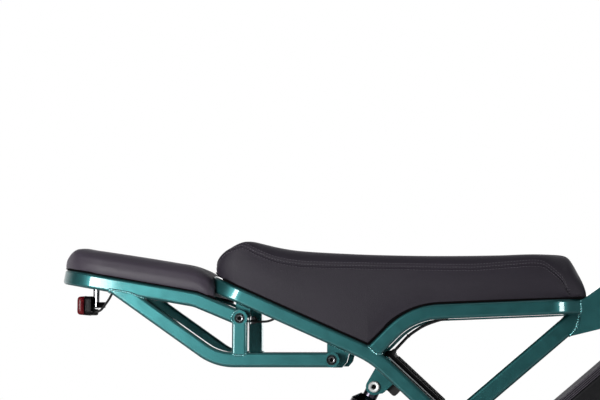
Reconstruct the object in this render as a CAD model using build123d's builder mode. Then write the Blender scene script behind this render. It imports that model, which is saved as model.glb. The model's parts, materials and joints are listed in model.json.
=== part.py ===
from build123d import *
from math import atan2, cos, degrees, hypot, radians, sin, tan
import os

# Frame of an electric fat bike with its bench seat, pillion rack and rear shock absorber, in millimetres.
# The origin is the centre of the bottom bracket. +X points forward, +Y to the rider's left, +Z up.
# The frame is made of square tube with rounded corners, in two planes, one on each side of the wheel.

# Frame tubes
tube = 25.0  # outer size of the square tube
tube_corner = 5.0
half_spacing = 83.0  # from the middle plane to the centre line of a side tube
rail_rear_slope = 24.0  # degrees, the main rail behind its bend
rail_front_slope = 43.0  # degrees, the main rail in front of its bend
rail_bend = (-270.3, 261.1)  # X and Z where the rail's two centre lines cross
rail_bend_radius = 160.0
rail_length = 222.0  # from the bend to where the rear hoop begins
hoop_radius = 52.0  # centre line of the hoop's two corners
hoop_run = 20.0  # straight run from a hoop's corner to its joint with the rails
rail_converge = 175.0  # distance from the bottom bracket where the rails start to close in
converge_radius = 150.0
rail_foot_offset = 36.0  # half the spacing of the rails' feet

# Top rails
top_bend = (-207.6, 332.4)
top_bend_radius = 115.0
top_rise = 45.0  # degrees, where the top rail leaves the main rail
top_slope = 2.2  # degrees, the long straight stretch
top_turn_in = 30.0  # X where the top rails turn towards the neck
top_turn_angle = 42.0
top_turn_radius = 50.0
top_gap = 5.0  # between the top rails' centre lines where they end inside the neck
top_root = 90.0  # how far the top rail runs back from its bend into the main rail
trim_reach = (200.0, 420.0)  # stretch of the main rail that the top rail is cut to
trim_depth = 80.0

# Brace, neck, head tube and down tube
brace_size = 31.0
brace_corner = 6.0
brace_slope = 40.4  # degrees, shared by brace, battery and down tube
brace_height = 203.0  # distance of the brace's centre line from the bottom bracket
brace_start = -17.0
brace_end = 285.0
neck_rear = (71.7, 352.6)  # X and Z of its upper rear corner
neck_flank = (72.0, 324.3)
neck_hollow = (67.5, 308.4)
neck_toe = (56.7, 294.2)
neck_throat = (105.0, 305.9)
neck_shoulder = (110.0, 379.5)
neck_rear_width = 124.0
neck_front_width = 52.0
neck_inset = 12.0  # from the head tube's ends
head_centre = (258.0, 396.0)
head_angle = 67.0
head_length = 136.0
head_outer = 51.0
head_bore = 44.0
head_ring = 2.5  # wall that the rings at its ends add
head_ring_length = 12.0
down_size = 46.0
down_corner = 9.0
down_bend_reach = 305.0
down_bend_radius = 85.0
down_head_drop = 38.0  # below the head tube's centre, along its axis

# Bottom bracket and swingarm pivot
shell_outer = 44.0
shell_bore = 33.8
shell_width = 100.0
pivot_outer = 38.0
pivot_bore = 20.0
pivot_reach = 100.0  # from the bottom bracket back along the rails
pivot_sink = 4.0  # how deep the pivot tube sits in the rails' saddles
gusset_thickness = 8.0
gusset_offset = 12.0
gusset_half = 12.0
pivot_overhang = 2.0  # pivot tube beyond the rails

# Cross tubes
cross_size = 24.0
shock_cross_setback = 19.8  # from the main rail's bend down to the cross tube
ear_thickness = 8.0
ear_gap = 30.0
ear_radius = 14.0
ear_rear_reach = 9.0  # from the cross tube to the ear's ends, along the main rail
ear_front_reach = 34.0
ear_root = 8.0  # below the rail's centre line
ear_toe_reach = 4.5
ear_toe_lean = -37.0
shock_bolt = (-274.3, 208.6)
bolt_size = 10.0

# Rack
rack_slope = 9.9
rack_knee = (-566.7, 354.4)
rack_boss = (-492.6, 323.4)
rack_rear = -794.0
rack_hoop_radius = 68.0
rack_knee_radius = 70.0
boss_outer = 26.0
boss_bore = 8.6
boss_recess = 14.6  # counterbore for the bolt's head
recess_depth = 9.0
lower_height = 254.6
lower_joint = -706.9  # X where the lower tube's centre line meets the rack's upper tube
lower_slope = 35.1
lower_bend_radius = 90.0
lower_drop = 23.7  # from the main rail's underside to the lower bolt
post_size = 26.0  # along the bike, and as wide as the tube across it
lug_thickness = 10.0
lug_rear_reach = 10.0  # behind the bolt
lug_root = 8.0  # into the line of the main rail
upper_lug_reach = 14.0
upper_lug_drop = 9.0
lower_lug_reach = 29.0
lower_lug_drop = 13.0
lower_lug_chamfer = (6.0, 14.0)
lower_lug_front_drop = 4.0
rear_cross_at = -750.5
front_cross_at = -592.0
rack_cross_size = 20.0

# Seats
pan_thickness = 3.0
soft_gap = 0.3
seat_overhang = 2.5  # beyond the outer face of the rails
seat_half_width = half_spacing + tube / 2 + seat_overhang
seat_nose_half_width = 72.0
seat_rear_x = -527.0
seat_front_x = 79.0
seat_taper_x = -60.0  # where the seat starts to narrow towards its nose
seat_rear_bulge = 20.0
seat_front_bulge = 4.0
pan_edge = 4.0  # the pans stop short of the cushions' sides
pan_inset = 6.0
vee_radius = 4.0
pad_half_width = seat_half_width
pad_front = -556.0
pad_horn = -530.0  # the pad's front corners reach past the frame's hoop
pad_horn_width = 12.0
pad_notch_width = 40.0
cut_height = 600.0  # above everything that is trimmed from above

# Controller case
case_start = 225.0
case_end = 367.0
case_top = 22.0
case_bottom = -4.0
case_side_gap = 0.5
case_corner = 6.0
case_edge = 4.0

# Battery
battery_start = 26.0
battery_end = 300.0
battery_top = 119.0
battery_bottom = 32.5
battery_width = 84.0
rim_height = 11.5
end_cap = 18.0
battery_edge = 5.0
cap_edge = 7.0
dock_width = 40.0
dock_inset = 30.0

# Shock absorber
shock_lean = 28.0  # degrees from the vertical, foot to the rear
shock_length = 190.0  # from eye to eye
eye_outer = 26.0
shock_neck = 20.0  # from the upper eye to the start of the cone
shock_shoulder = 33.0
shock_head_end = 40.0
shock_collar_end = 48.0
damper_end = 114.0
spring_seat_start = 142.0
foot_start = 152.0
spring_radius = 22.5
spring_wire = 7.5
spring_turns = 6.0
perch_rim = 1.5
damper_radius = 15.0
shaft_radius = 6.5

# Rubber stop
stop_start = 306.0
stop_end = 330.0
stop_low = -31.0
stop_high = -12.0
stop_corner = 5.0

# Tail lamp
lamp_centre = (-775.0, 347.0)
lamp_size = (29.0, 46.0, 31.0)  # depth along the bike, width, height
lamp_corner = 6.0
lens_depth = 10.5
lens_inset = 1.0
lens_chamfer = 2.5
strap_gauge = 3.0
strap_width = 20.0
clamp_depth = 14.5
clamp_size = 11.4
stud_size = 6.0
stud_height = 1.5
strap_drop = 5.5  # the strap ends this far below the lamp's centre

# Cables
lead_diameter = 4.0
loom_diameter = 5.0

os.makedirs("parts", exist_ok=True)


def along(angle, distance, start=(0.0, 0.0)):
    """The point at a distance from a start, in the middle plane."""
    return (start[0] + distance * cos(radians(angle)), start[1] + distance * sin(radians(angle)))


def save(piece, name):
    piece.part.label = name
    export_step(piece.part, f"parts/{name}.step")


def swept_tube(points, radii, size, corner):
    """A square tube with rounded corners, bent along a route of straight runs and arcs."""
    with BuildPart() as piece:
        with BuildLine() as route:
            if radii:
                FilletPolyline(*points, radius=radii)
            else:
                Line(*points)
        start = Plane(origin=route.line @ 0, x_dir=section_across(route.line % 0), z_dir=route.line % 0)
        with BuildSketch(start):
            RectangleRounded(size, size, corner)
        sweep(path=route.line)
    return piece


def section_across(direction):
    """The sideways direction of a tube's section at its start."""
    side = Vector(0, 1, 0)
    if abs(direction.Y) > 0.9:
        side = Vector(0, 0, 1)
    return side - direction * side.dot(direction)


def cut_away(piece, *others):
    """Cope a tube to the pieces that it is welded to."""
    with BuildPart() as coped:
        add(piece.part)
        for other in others:
            add(other.part if isinstance(other, BuildPart) else other, mode=Mode.SUBTRACT)
    with BuildPart() as kept:
        add(coped.part.solids().sort_by(SortBy.VOLUME)[-1])
    return kept


def round_bar(centre, radius, length):
    """A round bar across the bike, at a place in the middle plane."""
    with BuildPart() as bar:
        with BuildSketch(Plane(origin=(centre[0], 0, centre[1]), x_dir=(1, 0, 0), z_dir=(0, -1, 0))):
            Circle(radius)
        extrude(amount=length / 2, both=True)
    return bar


def side_plate(outline, inner, thickness, side):
    """A plate in a side plane, from its inner face outwards."""
    face = Plane(origin=(0, side * inner, 0), x_dir=(1, 0, 0), z_dir=(0, -1, 0))
    with BuildPart() as plate:
        with BuildSketch(face):
            add(outline.sketch)
        extrude(amount=-side * thickness)
    return plate


sides = {"right": -1, "left": 1}

# Main rails, from the rear hoop forward and down to the bottom bracket
foot_direction = (cos(radians(rail_front_slope)), -sin(radians(rail_front_slope)))
foot_run = -(rail_bend[0] * foot_direction[0] + rail_bend[1] * foot_direction[1])
rail_foot = (
    rail_bend[0] + foot_run * foot_direction[0],
    rail_bend[1] + foot_run * foot_direction[1],
)
rail_top = along(180 - rail_rear_slope, rail_length, rail_bend)
converge = along(180 - rail_front_slope, rail_converge, rail_foot)


def rail_place(reach, height=0.0):
    """A point on the lower main rail, by distance from its foot and height over its centre line."""
    place = along(180 - rail_front_slope, reach, rail_foot)
    return along(90 - rail_front_slope, height, place)


with BuildPart() as shell_bar:
    add(round_bar((0, 0), shell_outer / 2, shell_width).part)

with BuildPart() as shell_cope:
    add(round_bar((0, 0), shell_outer / 2, 2 * (half_spacing + tube)).part)

pivot_centre = rail_place(pivot_reach, -(tube / 2 + pivot_outer / 2 - pivot_sink))
pivot_offset = rail_foot_offset + pivot_reach * (half_spacing - rail_foot_offset) / rail_converge
pivot_length = 2 * (pivot_offset + tube / 2 + pivot_overhang)
pivot_bar = round_bar(pivot_centre, pivot_outer / 2, pivot_length)

rails = {}
for name, side in sides.items():
    points = [
        (rail_top[0], side * half_spacing, rail_top[1]),
        (rail_bend[0], side * half_spacing, rail_bend[1]),
        (converge[0], side * half_spacing, converge[1]),
        (rail_foot[0], side * rail_foot_offset, rail_foot[1]),
    ]
    raw = swept_tube(points, [rail_bend_radius, converge_radius], tube, tube_corner)
    rails[name] = cut_away(raw, shell_cope, pivot_bar)
    save(rails[name], f"main_rail_{name}")

# Rear hoop that joins the main rails under the seat
hoop_reach = hoop_radius + hoop_run
hoop_rear = along(180 - rail_rear_slope, rail_length + hoop_reach, rail_bend)
hoop = swept_tube(
    [
        (rail_top[0], -half_spacing, rail_top[1]),
        (hoop_rear[0], -half_spacing, hoop_rear[1]),
        (hoop_rear[0], half_spacing, hoop_rear[1]),
        (rail_top[0], half_spacing, rail_top[1]),
    ],
    [hoop_radius, hoop_radius],
    tube,
    tube_corner,
)
save(hoop, "rear_hoop")

# Bottom bracket shell and swingarm pivot tube
with BuildPart() as bottom_bracket:
    add(shell_bar.part)
    add(round_bar((0, 0), shell_bore / 2, shell_width + 2).part, mode=Mode.SUBTRACT)
save(bottom_bracket, "bottom_bracket_shell")

with BuildPart() as pivot_tube:
    add(pivot_bar.part)
    add(round_bar(pivot_centre, pivot_bore / 2, pivot_length + 2).part, mode=Mode.SUBTRACT)
save(pivot_tube, "swingarm_pivot_tube")

# Gussets between the shell and the pivot tube
with BuildSketch() as gusset_outline:
    with BuildLine():
        reach = hypot(*pivot_centre)
        lean = degrees(atan2(pivot_centre[1], pivot_centre[0]))
        low = along(lean - 90, gusset_half)
        high = along(lean + 90, gusset_half)
        Polyline(low, high, along(lean, reach, high), along(lean, reach, low), close=True)
    make_face()

# Neck, a folded box between the top rails and the head tube
head_plane = Plane(
    origin=(head_centre[0], 0, head_centre[1]),
    x_dir=(0, 1, 0),
    z_dir=(-cos(radians(head_angle)), 0, sin(radians(head_angle))),
)


def head_bar(radius, length):
    with BuildPart() as bar:
        with BuildSketch(head_plane):
            Circle(radius)
        extrude(amount=length / 2, both=True)
    return bar


head_blank = head_bar(head_outer / 2, head_length)
neck_high = along(180 - head_angle, head_length / 2 - neck_inset, head_centre)
neck_low = along(-head_angle, head_length / 2 - neck_inset, head_centre)
with BuildPart() as neck_blank:
    with BuildSketch(Plane.XZ):
        with BuildLine():
            Polyline(
                neck_rear,
                neck_shoulder,
                neck_high,
                neck_low,
                neck_throat,
                neck_toe,
                neck_hollow,
                neck_flank,
                close=True,
            )
        make_face()
    extrude(amount=neck_rear_width / 2, both=True)
    with BuildSketch():
        with BuildLine():
            Polyline(
                (neck_toe[0] - 1, -neck_rear_width / 2),
                (neck_rear[0], -neck_rear_width / 2),
                (head_centre[0], -neck_front_width / 2),
                (neck_low[0] + 1, -neck_front_width / 2),
                (neck_low[0] + 1, neck_front_width / 2),
                (head_centre[0], neck_front_width / 2),
                (neck_rear[0], neck_rear_width / 2),
                (neck_toe[0] - 1, neck_rear_width / 2),
                close=True,
            )
        make_face()
    extrude(amount=neck_high[1] + tube, mode=Mode.INTERSECT)
neck = cut_away(neck_blank, head_blank)
save(neck, "neck")

with BuildPart() as head_tube:
    add(head_blank.part)
    for end in (head_length / 2, -head_length / 2):
        with BuildSketch(head_plane.offset(end)):
            Circle(head_outer / 2 + head_ring)
        extrude(amount=-head_ring_length if end > 0 else head_ring_length)
    add(head_bar(head_bore / 2, head_length + 2).part, mode=Mode.SUBTRACT)
save(head_tube, "head_tube")
with BuildPart() as head_solid:
    add(head_blank.part)
    for end in (head_length / 2, -head_length / 2):
        with BuildSketch(head_plane.offset(end)):
            Circle(head_outer / 2 + head_ring)
        extrude(amount=-head_ring_length if end > 0 else head_ring_length)

# Top rails
top_start = along(top_rise + 180, top_root, top_bend)
top_turn_height = top_bend[1] + (top_turn_in - top_bend[0]) * tan(radians(top_slope))
top_inner = half_spacing - top_gap
top_end_run = top_inner / tan(radians(top_turn_angle))
top_end = (top_turn_in + top_end_run, top_turn_height + top_end_run * tan(radians(top_slope)))
for name, side in sides.items():
    points = [
        (top_start[0], side * half_spacing, top_start[1]),
        (top_bend[0], side * half_spacing, top_bend[1]),
        (top_turn_in, side * half_spacing, top_turn_height),
        (top_end[0], side * (half_spacing - top_inner), top_end[1]),
    ]
    raw = swept_tube(points, [top_bend_radius, top_turn_radius], tube, tube_corner)
    with BuildPart() as lower_side:
        with BuildSketch(Plane.XZ.offset(-side * half_spacing)):
            with BuildLine():
                Polyline(
                    rail_place(trim_reach[0]),
                    rail_place(trim_reach[1]),
                    rail_place(trim_reach[1], -trim_depth),
                    rail_place(trim_reach[0], -trim_depth),
                    close=True,
                )
            make_face()
        extrude(amount=tube, both=True)
    save(cut_away(raw, rails[name], lower_side, neck_blank), f"top_rail_{name}")


# Brace from the neck down to the cross tube between the main rails
def brace_place(reach, height):
    """A point on the brace's slope, by distance along it and height over the bottom bracket."""
    return along(brace_slope + 90, height, along(brace_slope, reach))


brace_cross_centre = brace_place(brace_start, brace_height)
brace_cross_bar = round_bar(brace_cross_centre, cross_size / 2, 2 * half_spacing)
brace_low = brace_place(brace_start, brace_height)
brace_high = brace_place(brace_end, brace_height)
brace_ends = [(brace_low[0], 0, brace_low[1]), (brace_high[0], 0, brace_high[1])]
brace_raw = swept_tube(brace_ends, None, brace_size, brace_corner)
save(cut_away(brace_raw, brace_cross_bar, neck_blank), "brace")

shock_cross_reach = hypot(rail_bend[0] - rail_foot[0], rail_bend[1] - rail_foot[1]) - shock_cross_setback
shock_cross_centre = rail_place(shock_cross_reach)
shock_cross_bar = round_bar(shock_cross_centre, cross_size / 2, 2 * half_spacing)
save(cut_away(brace_cross_bar, rails["right"], rails["left"]), "brace_cross_tube")
save(cut_away(shock_cross_bar, rails["right"], rails["left"]), "shock_cross_tube")

# Down tube, straight under the battery and bent up to the head tube
down_bend = along(brace_slope, down_bend_reach)
down_top = along(-head_angle, down_head_drop, head_centre)
down_raw = swept_tube(
    [(0, 0, 0), (down_bend[0], 0, down_bend[1]), (down_top[0], 0, down_top[1])],
    [down_bend_radius],
    down_size,
    down_corner,
)
down_tube = cut_away(down_raw, shell_bar, head_solid, neck_blank)
save(down_tube, "down_tube")
for name, side in sides.items():
    raw = side_plate(gusset_outline, gusset_offset, gusset_thickness, side)
    save(cut_away(raw, shell_bar, pivot_bar, down_tube), f"pivot_gusset_{name}")

# Ears that carry the shock absorber
with BuildSketch() as ear_outline:
    with BuildLine():
        ear_low = along(-100, ear_radius, shock_bolt)
        ear_back = along(150, ear_radius, shock_bolt)
        ear_toe = along(ear_toe_lean, ear_radius + ear_toe_reach, shock_bolt)
        ear_front = rail_place(shock_cross_reach - ear_front_reach, -ear_root)
        ear_rear = rail_place(shock_cross_reach + ear_rear_reach, -ear_root)
        Polyline(ear_rear, ear_front, ear_toe, ear_low, ear_back, close=True)
    make_face()
    with Locations(shock_bolt):
        Circle(ear_radius)
        Circle(bolt_size / 2 + 0.25, mode=Mode.SUBTRACT)
for name, side in sides.items():
    raw = side_plate(ear_outline, ear_gap / 2, ear_thickness, side)
    save(cut_away(raw, shock_cross_bar), f"shock_ear_{name}")

# Rack, a loop over two kinked lower tubes and two posts
rack_front_slope = degrees(atan2(rack_knee[1] - rack_boss[1], rack_boss[0] - rack_knee[0]))
rack_back = (rack_rear, rack_knee[1] + (rack_knee[0] - rack_rear) * tan(radians(rack_slope)))
hoop_split = along(-rack_slope, rack_hoop_radius + hoop_run, rack_back)
rack_hoop = swept_tube(
    [
        (hoop_split[0], -half_spacing, hoop_split[1]),
        (rack_back[0], -half_spacing, rack_back[1]),
        (rack_back[0], half_spacing, rack_back[1]),
        (hoop_split[0], half_spacing, hoop_split[1]),
    ],
    [rack_hoop_radius, rack_hoop_radius],
    tube,
    tube_corner,
)
save(rack_hoop, "rack_hoop")


def under_rail(x):
    """The underside of the rear main rail at a place along the bike."""
    centre = rail_bend[1] + (rail_bend[0] - x) * tan(radians(rail_rear_slope))
    return (x, centre - tube / 2 / cos(radians(rail_rear_slope)))


lower_joint_height = rack_knee[1] + (rack_knee[0] - lower_joint) * tan(radians(rack_slope))
lower_bend = lower_joint + (lower_joint_height - lower_height) / tan(radians(lower_slope))
lower_end_rise = lower_height + lower_drop - under_rail(rail_bend[0])[1]
lower_end = rail_bend[0] - lower_end_rise / tan(radians(rail_rear_slope))
lower_top = (lower_joint, lower_joint_height)


def bolt_hole(centre, side):
    """A through hole with a counterbore for the bolt's head on the outer side."""
    outer = half_spacing + tube / 2
    with BuildPart() as hole:
        add(Pos(0, side * half_spacing, 0) * round_bar(centre, boss_bore / 2, tube + 2).part)
        add(Pos(0, side * outer, 0) * round_bar(centre, boss_recess / 2, 2 * recess_depth).part)
    return hole


rack_rails = {}
for name, side in sides.items():
    y = side * half_spacing
    boss_bar = Pos(0, y, 0) * round_bar(rack_boss, boss_outer / 2, tube).part
    top_points = [
        (hoop_split[0], y, hoop_split[1]),
        (rack_knee[0], y, rack_knee[1]),
        (rack_boss[0], y, rack_boss[1]),
    ]
    raw = swept_tube(top_points, [rack_knee_radius], tube, tube_corner)
    rack_top = cut_away(raw, boss_bar)
    rack_rails[name] = rack_top
    save(rack_top, f"rack_top_rail_{name}")

    lower_points = [
        (lower_top[0], y, lower_top[1]),
        (lower_bend, y, lower_height),
        (lower_end, y, lower_height),
    ]
    raw = swept_tube(lower_points, [lower_bend_radius], tube, tube_corner)
    with BuildPart() as rack_lower:
        add(raw.part)
        add(Pos(0, y, 0) * round_bar((lower_end, lower_height), tube / 2, tube).part)
        add(bolt_hole((lower_end, lower_height), side).part, mode=Mode.SUBTRACT)
    lower_rail = cut_away(rack_lower, rack_top, rack_hoop)
    save(lower_rail, f"rack_lower_rail_{name}")

    with BuildPart() as post:
        with BuildSketch(Plane.XY.offset(lower_height)):
            with Locations((rack_boss[0], y)):
                RectangleRounded(post_size, tube, tube_corner)
        extrude(amount=rack_boss[1] - lower_height)
        add(boss_bar)
        add(bolt_hole(rack_boss, side).part, mode=Mode.SUBTRACT)
    save(cut_away(post, rack_top, lower_rail), f"rack_post_{name}")


# Cross tubes of the rack
def rack_centre(x):
    return (x, rack_knee[1] + (rack_knee[0] - x) * tan(radians(rack_slope)))


for name, x in (("rack_rear_cross", rear_cross_at), ("rack_front_cross", front_cross_at)):
    bar = round_bar(rack_centre(x), rack_cross_size / 2, 2 * half_spacing)
    save(cut_away(bar, rack_rails["right"], rack_rails["left"], rack_hoop), name)

# Lugs under the main rails that the rack bolts to
lug_inner = half_spacing - tube / 2 - lug_thickness
upper_lug_rear = rack_boss[0] - lug_rear_reach
upper_lug_front = rack_boss[0] + upper_lug_reach
with BuildSketch() as upper_lug:
    with BuildLine():
        Polyline(
            (upper_lug_rear, rack_boss[1] - upper_lug_drop),
            (upper_lug_rear, under_rail(upper_lug_rear)[1] + lug_root),
            (upper_lug_front, under_rail(upper_lug_front)[1] + lug_root),
            (upper_lug_front, rack_boss[1] - upper_lug_drop),
            close=True,
        )
    make_face()
    with Locations(rack_boss):
        Circle(boss_outer / 2 - 1)
        Circle(boss_bore / 2, mode=Mode.SUBTRACT)
lower_lug_rear = lower_end - lug_rear_reach
lower_lug_front = lower_end + lower_lug_reach
with BuildSketch() as lower_lug:
    with BuildLine():
        Polyline(
            (lower_lug_rear, lower_height - upper_lug_drop),
            (lower_lug_rear, under_rail(lower_lug_rear)[1] + lug_root),
            (lower_lug_front, under_rail(lower_lug_front)[1] + lug_root),
            (lower_lug_front - lower_lug_chamfer[0], lower_height - lower_lug_front_drop),
            (lower_lug_front - lower_lug_chamfer[1], lower_height - lower_lug_drop),
            (lower_end, lower_height - lower_lug_drop),
            close=True,
        )
    make_face()
    with Locations((lower_end, lower_height)):
        Circle(tube / 2 - 0.5)
        Circle(boss_bore / 2, mode=Mode.SUBTRACT)
for name, side in sides.items():
    upper_plate = side_plate(upper_lug, lug_inner, lug_thickness, side)
    save(cut_away(upper_plate, hoop), f"rack_upper_lug_{name}")
    save(side_plate(lower_lug, lug_inner, lug_thickness, side), f"rack_lower_lug_{name}")


# Bench seat: a pan that follows the rails, and the cushion on it
def rail_surface(x, height):
    """Height of a line parallel to the rear main rail."""
    slope = radians(rail_rear_slope)
    return rail_bend[1] + (rail_bend[0] - x) * tan(slope) + height / cos(slope)


def top_surface(x, height):
    return top_bend[1] + (x - top_bend[0]) * tan(radians(top_slope)) + height / cos(radians(top_slope))


def seat_bottom(height, rear_x, front_x):
    """The line that the seat follows, at a height over the rails' centre lines."""
    rear_tan = tan(radians(rail_rear_slope))
    rise_tan = tan(radians(top_rise))
    rear_zero = rail_surface(0, height)
    rise_zero = top_bend[1] - top_bend[0] * rise_tan + height / cos(radians(top_rise))
    vee_x = (rear_zero - rise_zero) / (rear_tan + rise_tan)
    front_tan = tan(radians(top_slope))
    front_zero = top_surface(0, height)
    knee_x = (front_zero - rise_zero) / (rise_tan - front_tan)
    return [
        (rear_x, rail_surface(rear_x, height)),
        (vee_x, rise_zero + rise_tan * vee_x),
        (knee_x, rise_zero + rise_tan * knee_x),
        (front_x, top_surface(front_x, height)),
    ]


pan_low = tube / 2
pan_high = pan_low + pan_thickness
cushion_low = pan_high + soft_gap
with BuildPart() as seat_pan:
    with BuildSketch(Plane.XZ):
        with BuildLine():
            low = FilletPolyline(
                *seat_bottom(pan_low, seat_rear_x + pan_inset, seat_front_x - pan_inset),
                radius=[vee_radius, top_bend_radius + pan_low],
            )
            high = FilletPolyline(
                *seat_bottom(pan_high, seat_rear_x + pan_inset, seat_front_x - pan_inset),
                radius=[vee_radius - 1, top_bend_radius + pan_high],
            )
            Line(low @ 0, high @ 0)
            Line(low @ 1, high @ 1)
        make_face()
    extrude(amount=seat_half_width - pan_edge, both=True)
    with BuildSketch():
        with BuildLine():
            Polyline(
                (seat_rear_x, -seat_half_width),
                (seat_taper_x, -seat_half_width),
                (seat_front_x, -seat_nose_half_width + pan_edge),
                (seat_front_x, seat_nose_half_width - pan_edge),
                (seat_taper_x, seat_half_width),
                (seat_rear_x, seat_half_width),
                close=True,
            )
        make_face()
    extrude(amount=cut_height, both=True, mode=Mode.INTERSECT)
save(seat_pan, "seat_pan")

seat_top = [
    (-537.0, 412.0),
    (-528.0, 430.0),
    (-502.0, 447.0),
    (-478.0, 456.5),
    (-430.0, 446.5),
    (-383.0, 438.5),
    (-313.0, 434.0),
    (-171.2, 431.0),
    (-77.8, 432.0),
    (-13.8, 434.0),
    (32.0, 433.0),
    (56.0, 424.0),
    (72.0, 396.0),
]
with BuildPart() as bench_seat:
    with BuildSketch(Plane.XZ):
        with BuildLine():
            bottom = FilletPolyline(
                *seat_bottom(cushion_low, seat_rear_x, seat_front_x),
                radius=[vee_radius - 1, top_bend_radius + cushion_low],
            )
            Spline(bottom @ 0, *seat_top, bottom @ 1)
        make_face()
    extrude(amount=seat_half_width, both=True)
    with BuildSketch():
        with BuildLine():
            Polyline(
                (seat_rear_x - seat_rear_bulge, -seat_half_width),
                (seat_taper_x, -seat_half_width),
                (seat_front_x + seat_front_bulge, -seat_nose_half_width),
                (seat_front_x + seat_front_bulge, seat_nose_half_width),
                (seat_taper_x, seat_half_width),
                (seat_rear_x - seat_rear_bulge, seat_half_width),
                close=True,
            )
        make_face()
    extrude(amount=cut_height, both=True, mode=Mode.INTERSECT)
save(bench_seat, "bench_seat")


# Pillion pad on the rack's loop
def pad_outline(inset):
    """The pad seen from above: round at the rear, hollowed at the front for the frame's hoop."""
    rear = rack_rear - tube / 2 + inset
    half = pad_half_width - inset
    corner = rack_hoop_radius + tube / 2
    with BuildSketch() as outline:
        with BuildLine():
            FilletPolyline(
                (pad_horn - inset, -half),
                (rear, -half),
                (rear, half),
                (pad_horn - inset, half),
                radius=[corner, corner],
            )
            Polyline(
                (pad_horn - inset, half),
                (pad_horn - inset, half - pad_horn_width),
                (pad_front - inset, half - pad_notch_width),
                (pad_front - inset, -half + pad_notch_width),
                (pad_horn - inset, -half + pad_horn_width),
                (pad_horn - inset, -half),
            )
        make_face()
    return outline


def rack_surface(height, front_x, rear_x):
    """A line over the rack's top rails."""
    lift = height / cos(radians(rack_slope))
    front_lift = height / cos(radians(rack_front_slope))
    rear_tan = tan(radians(rack_slope))
    front_tan = tan(radians(rack_front_slope))
    knee = (front_lift - lift) / (front_tan - rear_tan)
    return [
        (rear_x, rack_knee[1] + lift + (rack_knee[0] - rear_x) * rear_tan),
        (rack_knee[0] + knee, rack_knee[1] + lift - knee * rear_tan),
        (front_x, rack_knee[1] + front_lift - (front_x - rack_knee[0]) * front_tan),
    ]


with BuildPart() as pillion_pan:
    with BuildSketch(Plane.XZ):
        with BuildLine():
            low = Polyline(*rack_surface(pan_low, pad_horn, rack_rear - tube))
            high = Polyline(*rack_surface(pan_high, pad_horn, rack_rear - tube))
            Line(low @ 0, high @ 0)
            Line(low @ 1, high @ 1)
        make_face()
    extrude(amount=pad_half_width, both=True)
    with BuildSketch():
        add(pad_outline(pan_edge).sketch)
    extrude(amount=cut_height, both=True, mode=Mode.INTERSECT)
save(pillion_pan, "pillion_pan")

pad_top = [
    (-803.5, 424.0),
    (-794.0, 437.0),
    (-778.0, 443.8),
    (-689.7, 432.0),
    (-609.6, 418.5),
    (-557.8, 408.0),
    (-540.0, 399.0),
    (-528.0, 383.0),
]
with BuildPart() as pillion_pad:
    with BuildSketch(Plane.XZ):
        with BuildLine():
            bottom = Polyline(*rack_surface(cushion_low, pad_horn, rack_rear - tube / 2))
            Spline(bottom @ 0, *pad_top, bottom @ 1)
        make_face()
    extrude(amount=pad_half_width, both=True)
    with BuildSketch():
        add(pad_outline(0).sketch)
    extrude(amount=cut_height, both=True, mode=Mode.INTERSECT)
save(pillion_pad, "pillion_pad")

# Controller case between the lower main rails
case_plane = Plane(
    origin=(rail_foot[0], 0, rail_foot[1]),
    x_dir=(-foot_direction[0], 0, -foot_direction[1]),
    z_dir=(sin(radians(rail_front_slope)), 0, cos(radians(rail_front_slope))),
)
case_half_width = half_spacing - tube / 2 - case_side_gap
with BuildPart() as controller_case:
    with BuildSketch(case_plane.offset(case_bottom)):
        with Locations(((case_start + case_end) / 2, 0)):
            RectangleRounded(case_end - case_start, 2 * case_half_width, case_corner)
    extrude(amount=case_top - case_bottom)
    case_up = Axis((0, 0, 0), tuple(case_plane.z_dir))
    fillet(controller_case.faces().sort_by(case_up)[-1].edges(), case_edge)
    add(round_bar(shock_cross_centre, cross_size / 2 + soft_gap, 2 * half_spacing).part, mode=Mode.SUBTRACT)
save(controller_case, "controller_case")

# Battery on the down tube
slope_direction = (cos(radians(brace_slope)), 0, sin(radians(brace_slope)))


def battery_block(start, end, low, high, width, edge):
    with BuildPart() as block:
        with BuildSketch(Plane(origin=(0, 0, 0), x_dir=slope_direction, z_dir=(0, -1, 0))):
            with Locations(((start + end) / 2, (low + high) / 2)):
                Rectangle(end - start, high - low)
        extrude(amount=width / 2, both=True)
        if edge:
            fillet(block.edges().filter_by(Axis((0, 0, 0), slope_direction)), edge)
    return block


case_span = (battery_start + end_cap, battery_end - end_cap)
rim_low = battery_top - rim_height
battery_case = battery_block(*case_span, battery_bottom, rim_low, battery_width, battery_edge)
battery_rim = battery_block(*case_span, rim_low, battery_top, battery_width, 0)
lower_cap = battery_block(battery_start, case_span[0], battery_bottom, battery_top, battery_width, cap_edge)
upper_cap = battery_block(case_span[1], battery_end, battery_bottom, battery_top, battery_width, cap_edge)
dock_span = (battery_start + dock_inset, battery_end - dock_inset)
battery_dock = battery_block(*dock_span, down_size / 2, battery_bottom, dock_width, 0)
save(battery_case, "battery_case")
save(battery_rim, "battery_rim")
save(lower_cap, "battery_lower_cap")
save(upper_cap, "battery_upper_cap")
save(battery_dock, "battery_dock")


# Shock absorber, hung from the ears and leaning back
def shock_place(distance):
    return along(-90 - shock_lean, distance, shock_bolt)


shock_axis = (-sin(radians(shock_lean)), 0, -cos(radians(shock_lean)))


def shock_plane(distance):
    place = shock_place(distance)
    return Plane(origin=(place[0], 0, place[1]), x_dir=(0, 1, 0), z_dir=shock_axis)


def shock_round(start, end, radius, inner=0.0):
    with BuildPart() as ring:
        with BuildSketch(shock_plane(start)):
            Circle(radius)
            if inner:
                Circle(inner, mode=Mode.SUBTRACT)
        extrude(amount=end - start)
    return ring


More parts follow.
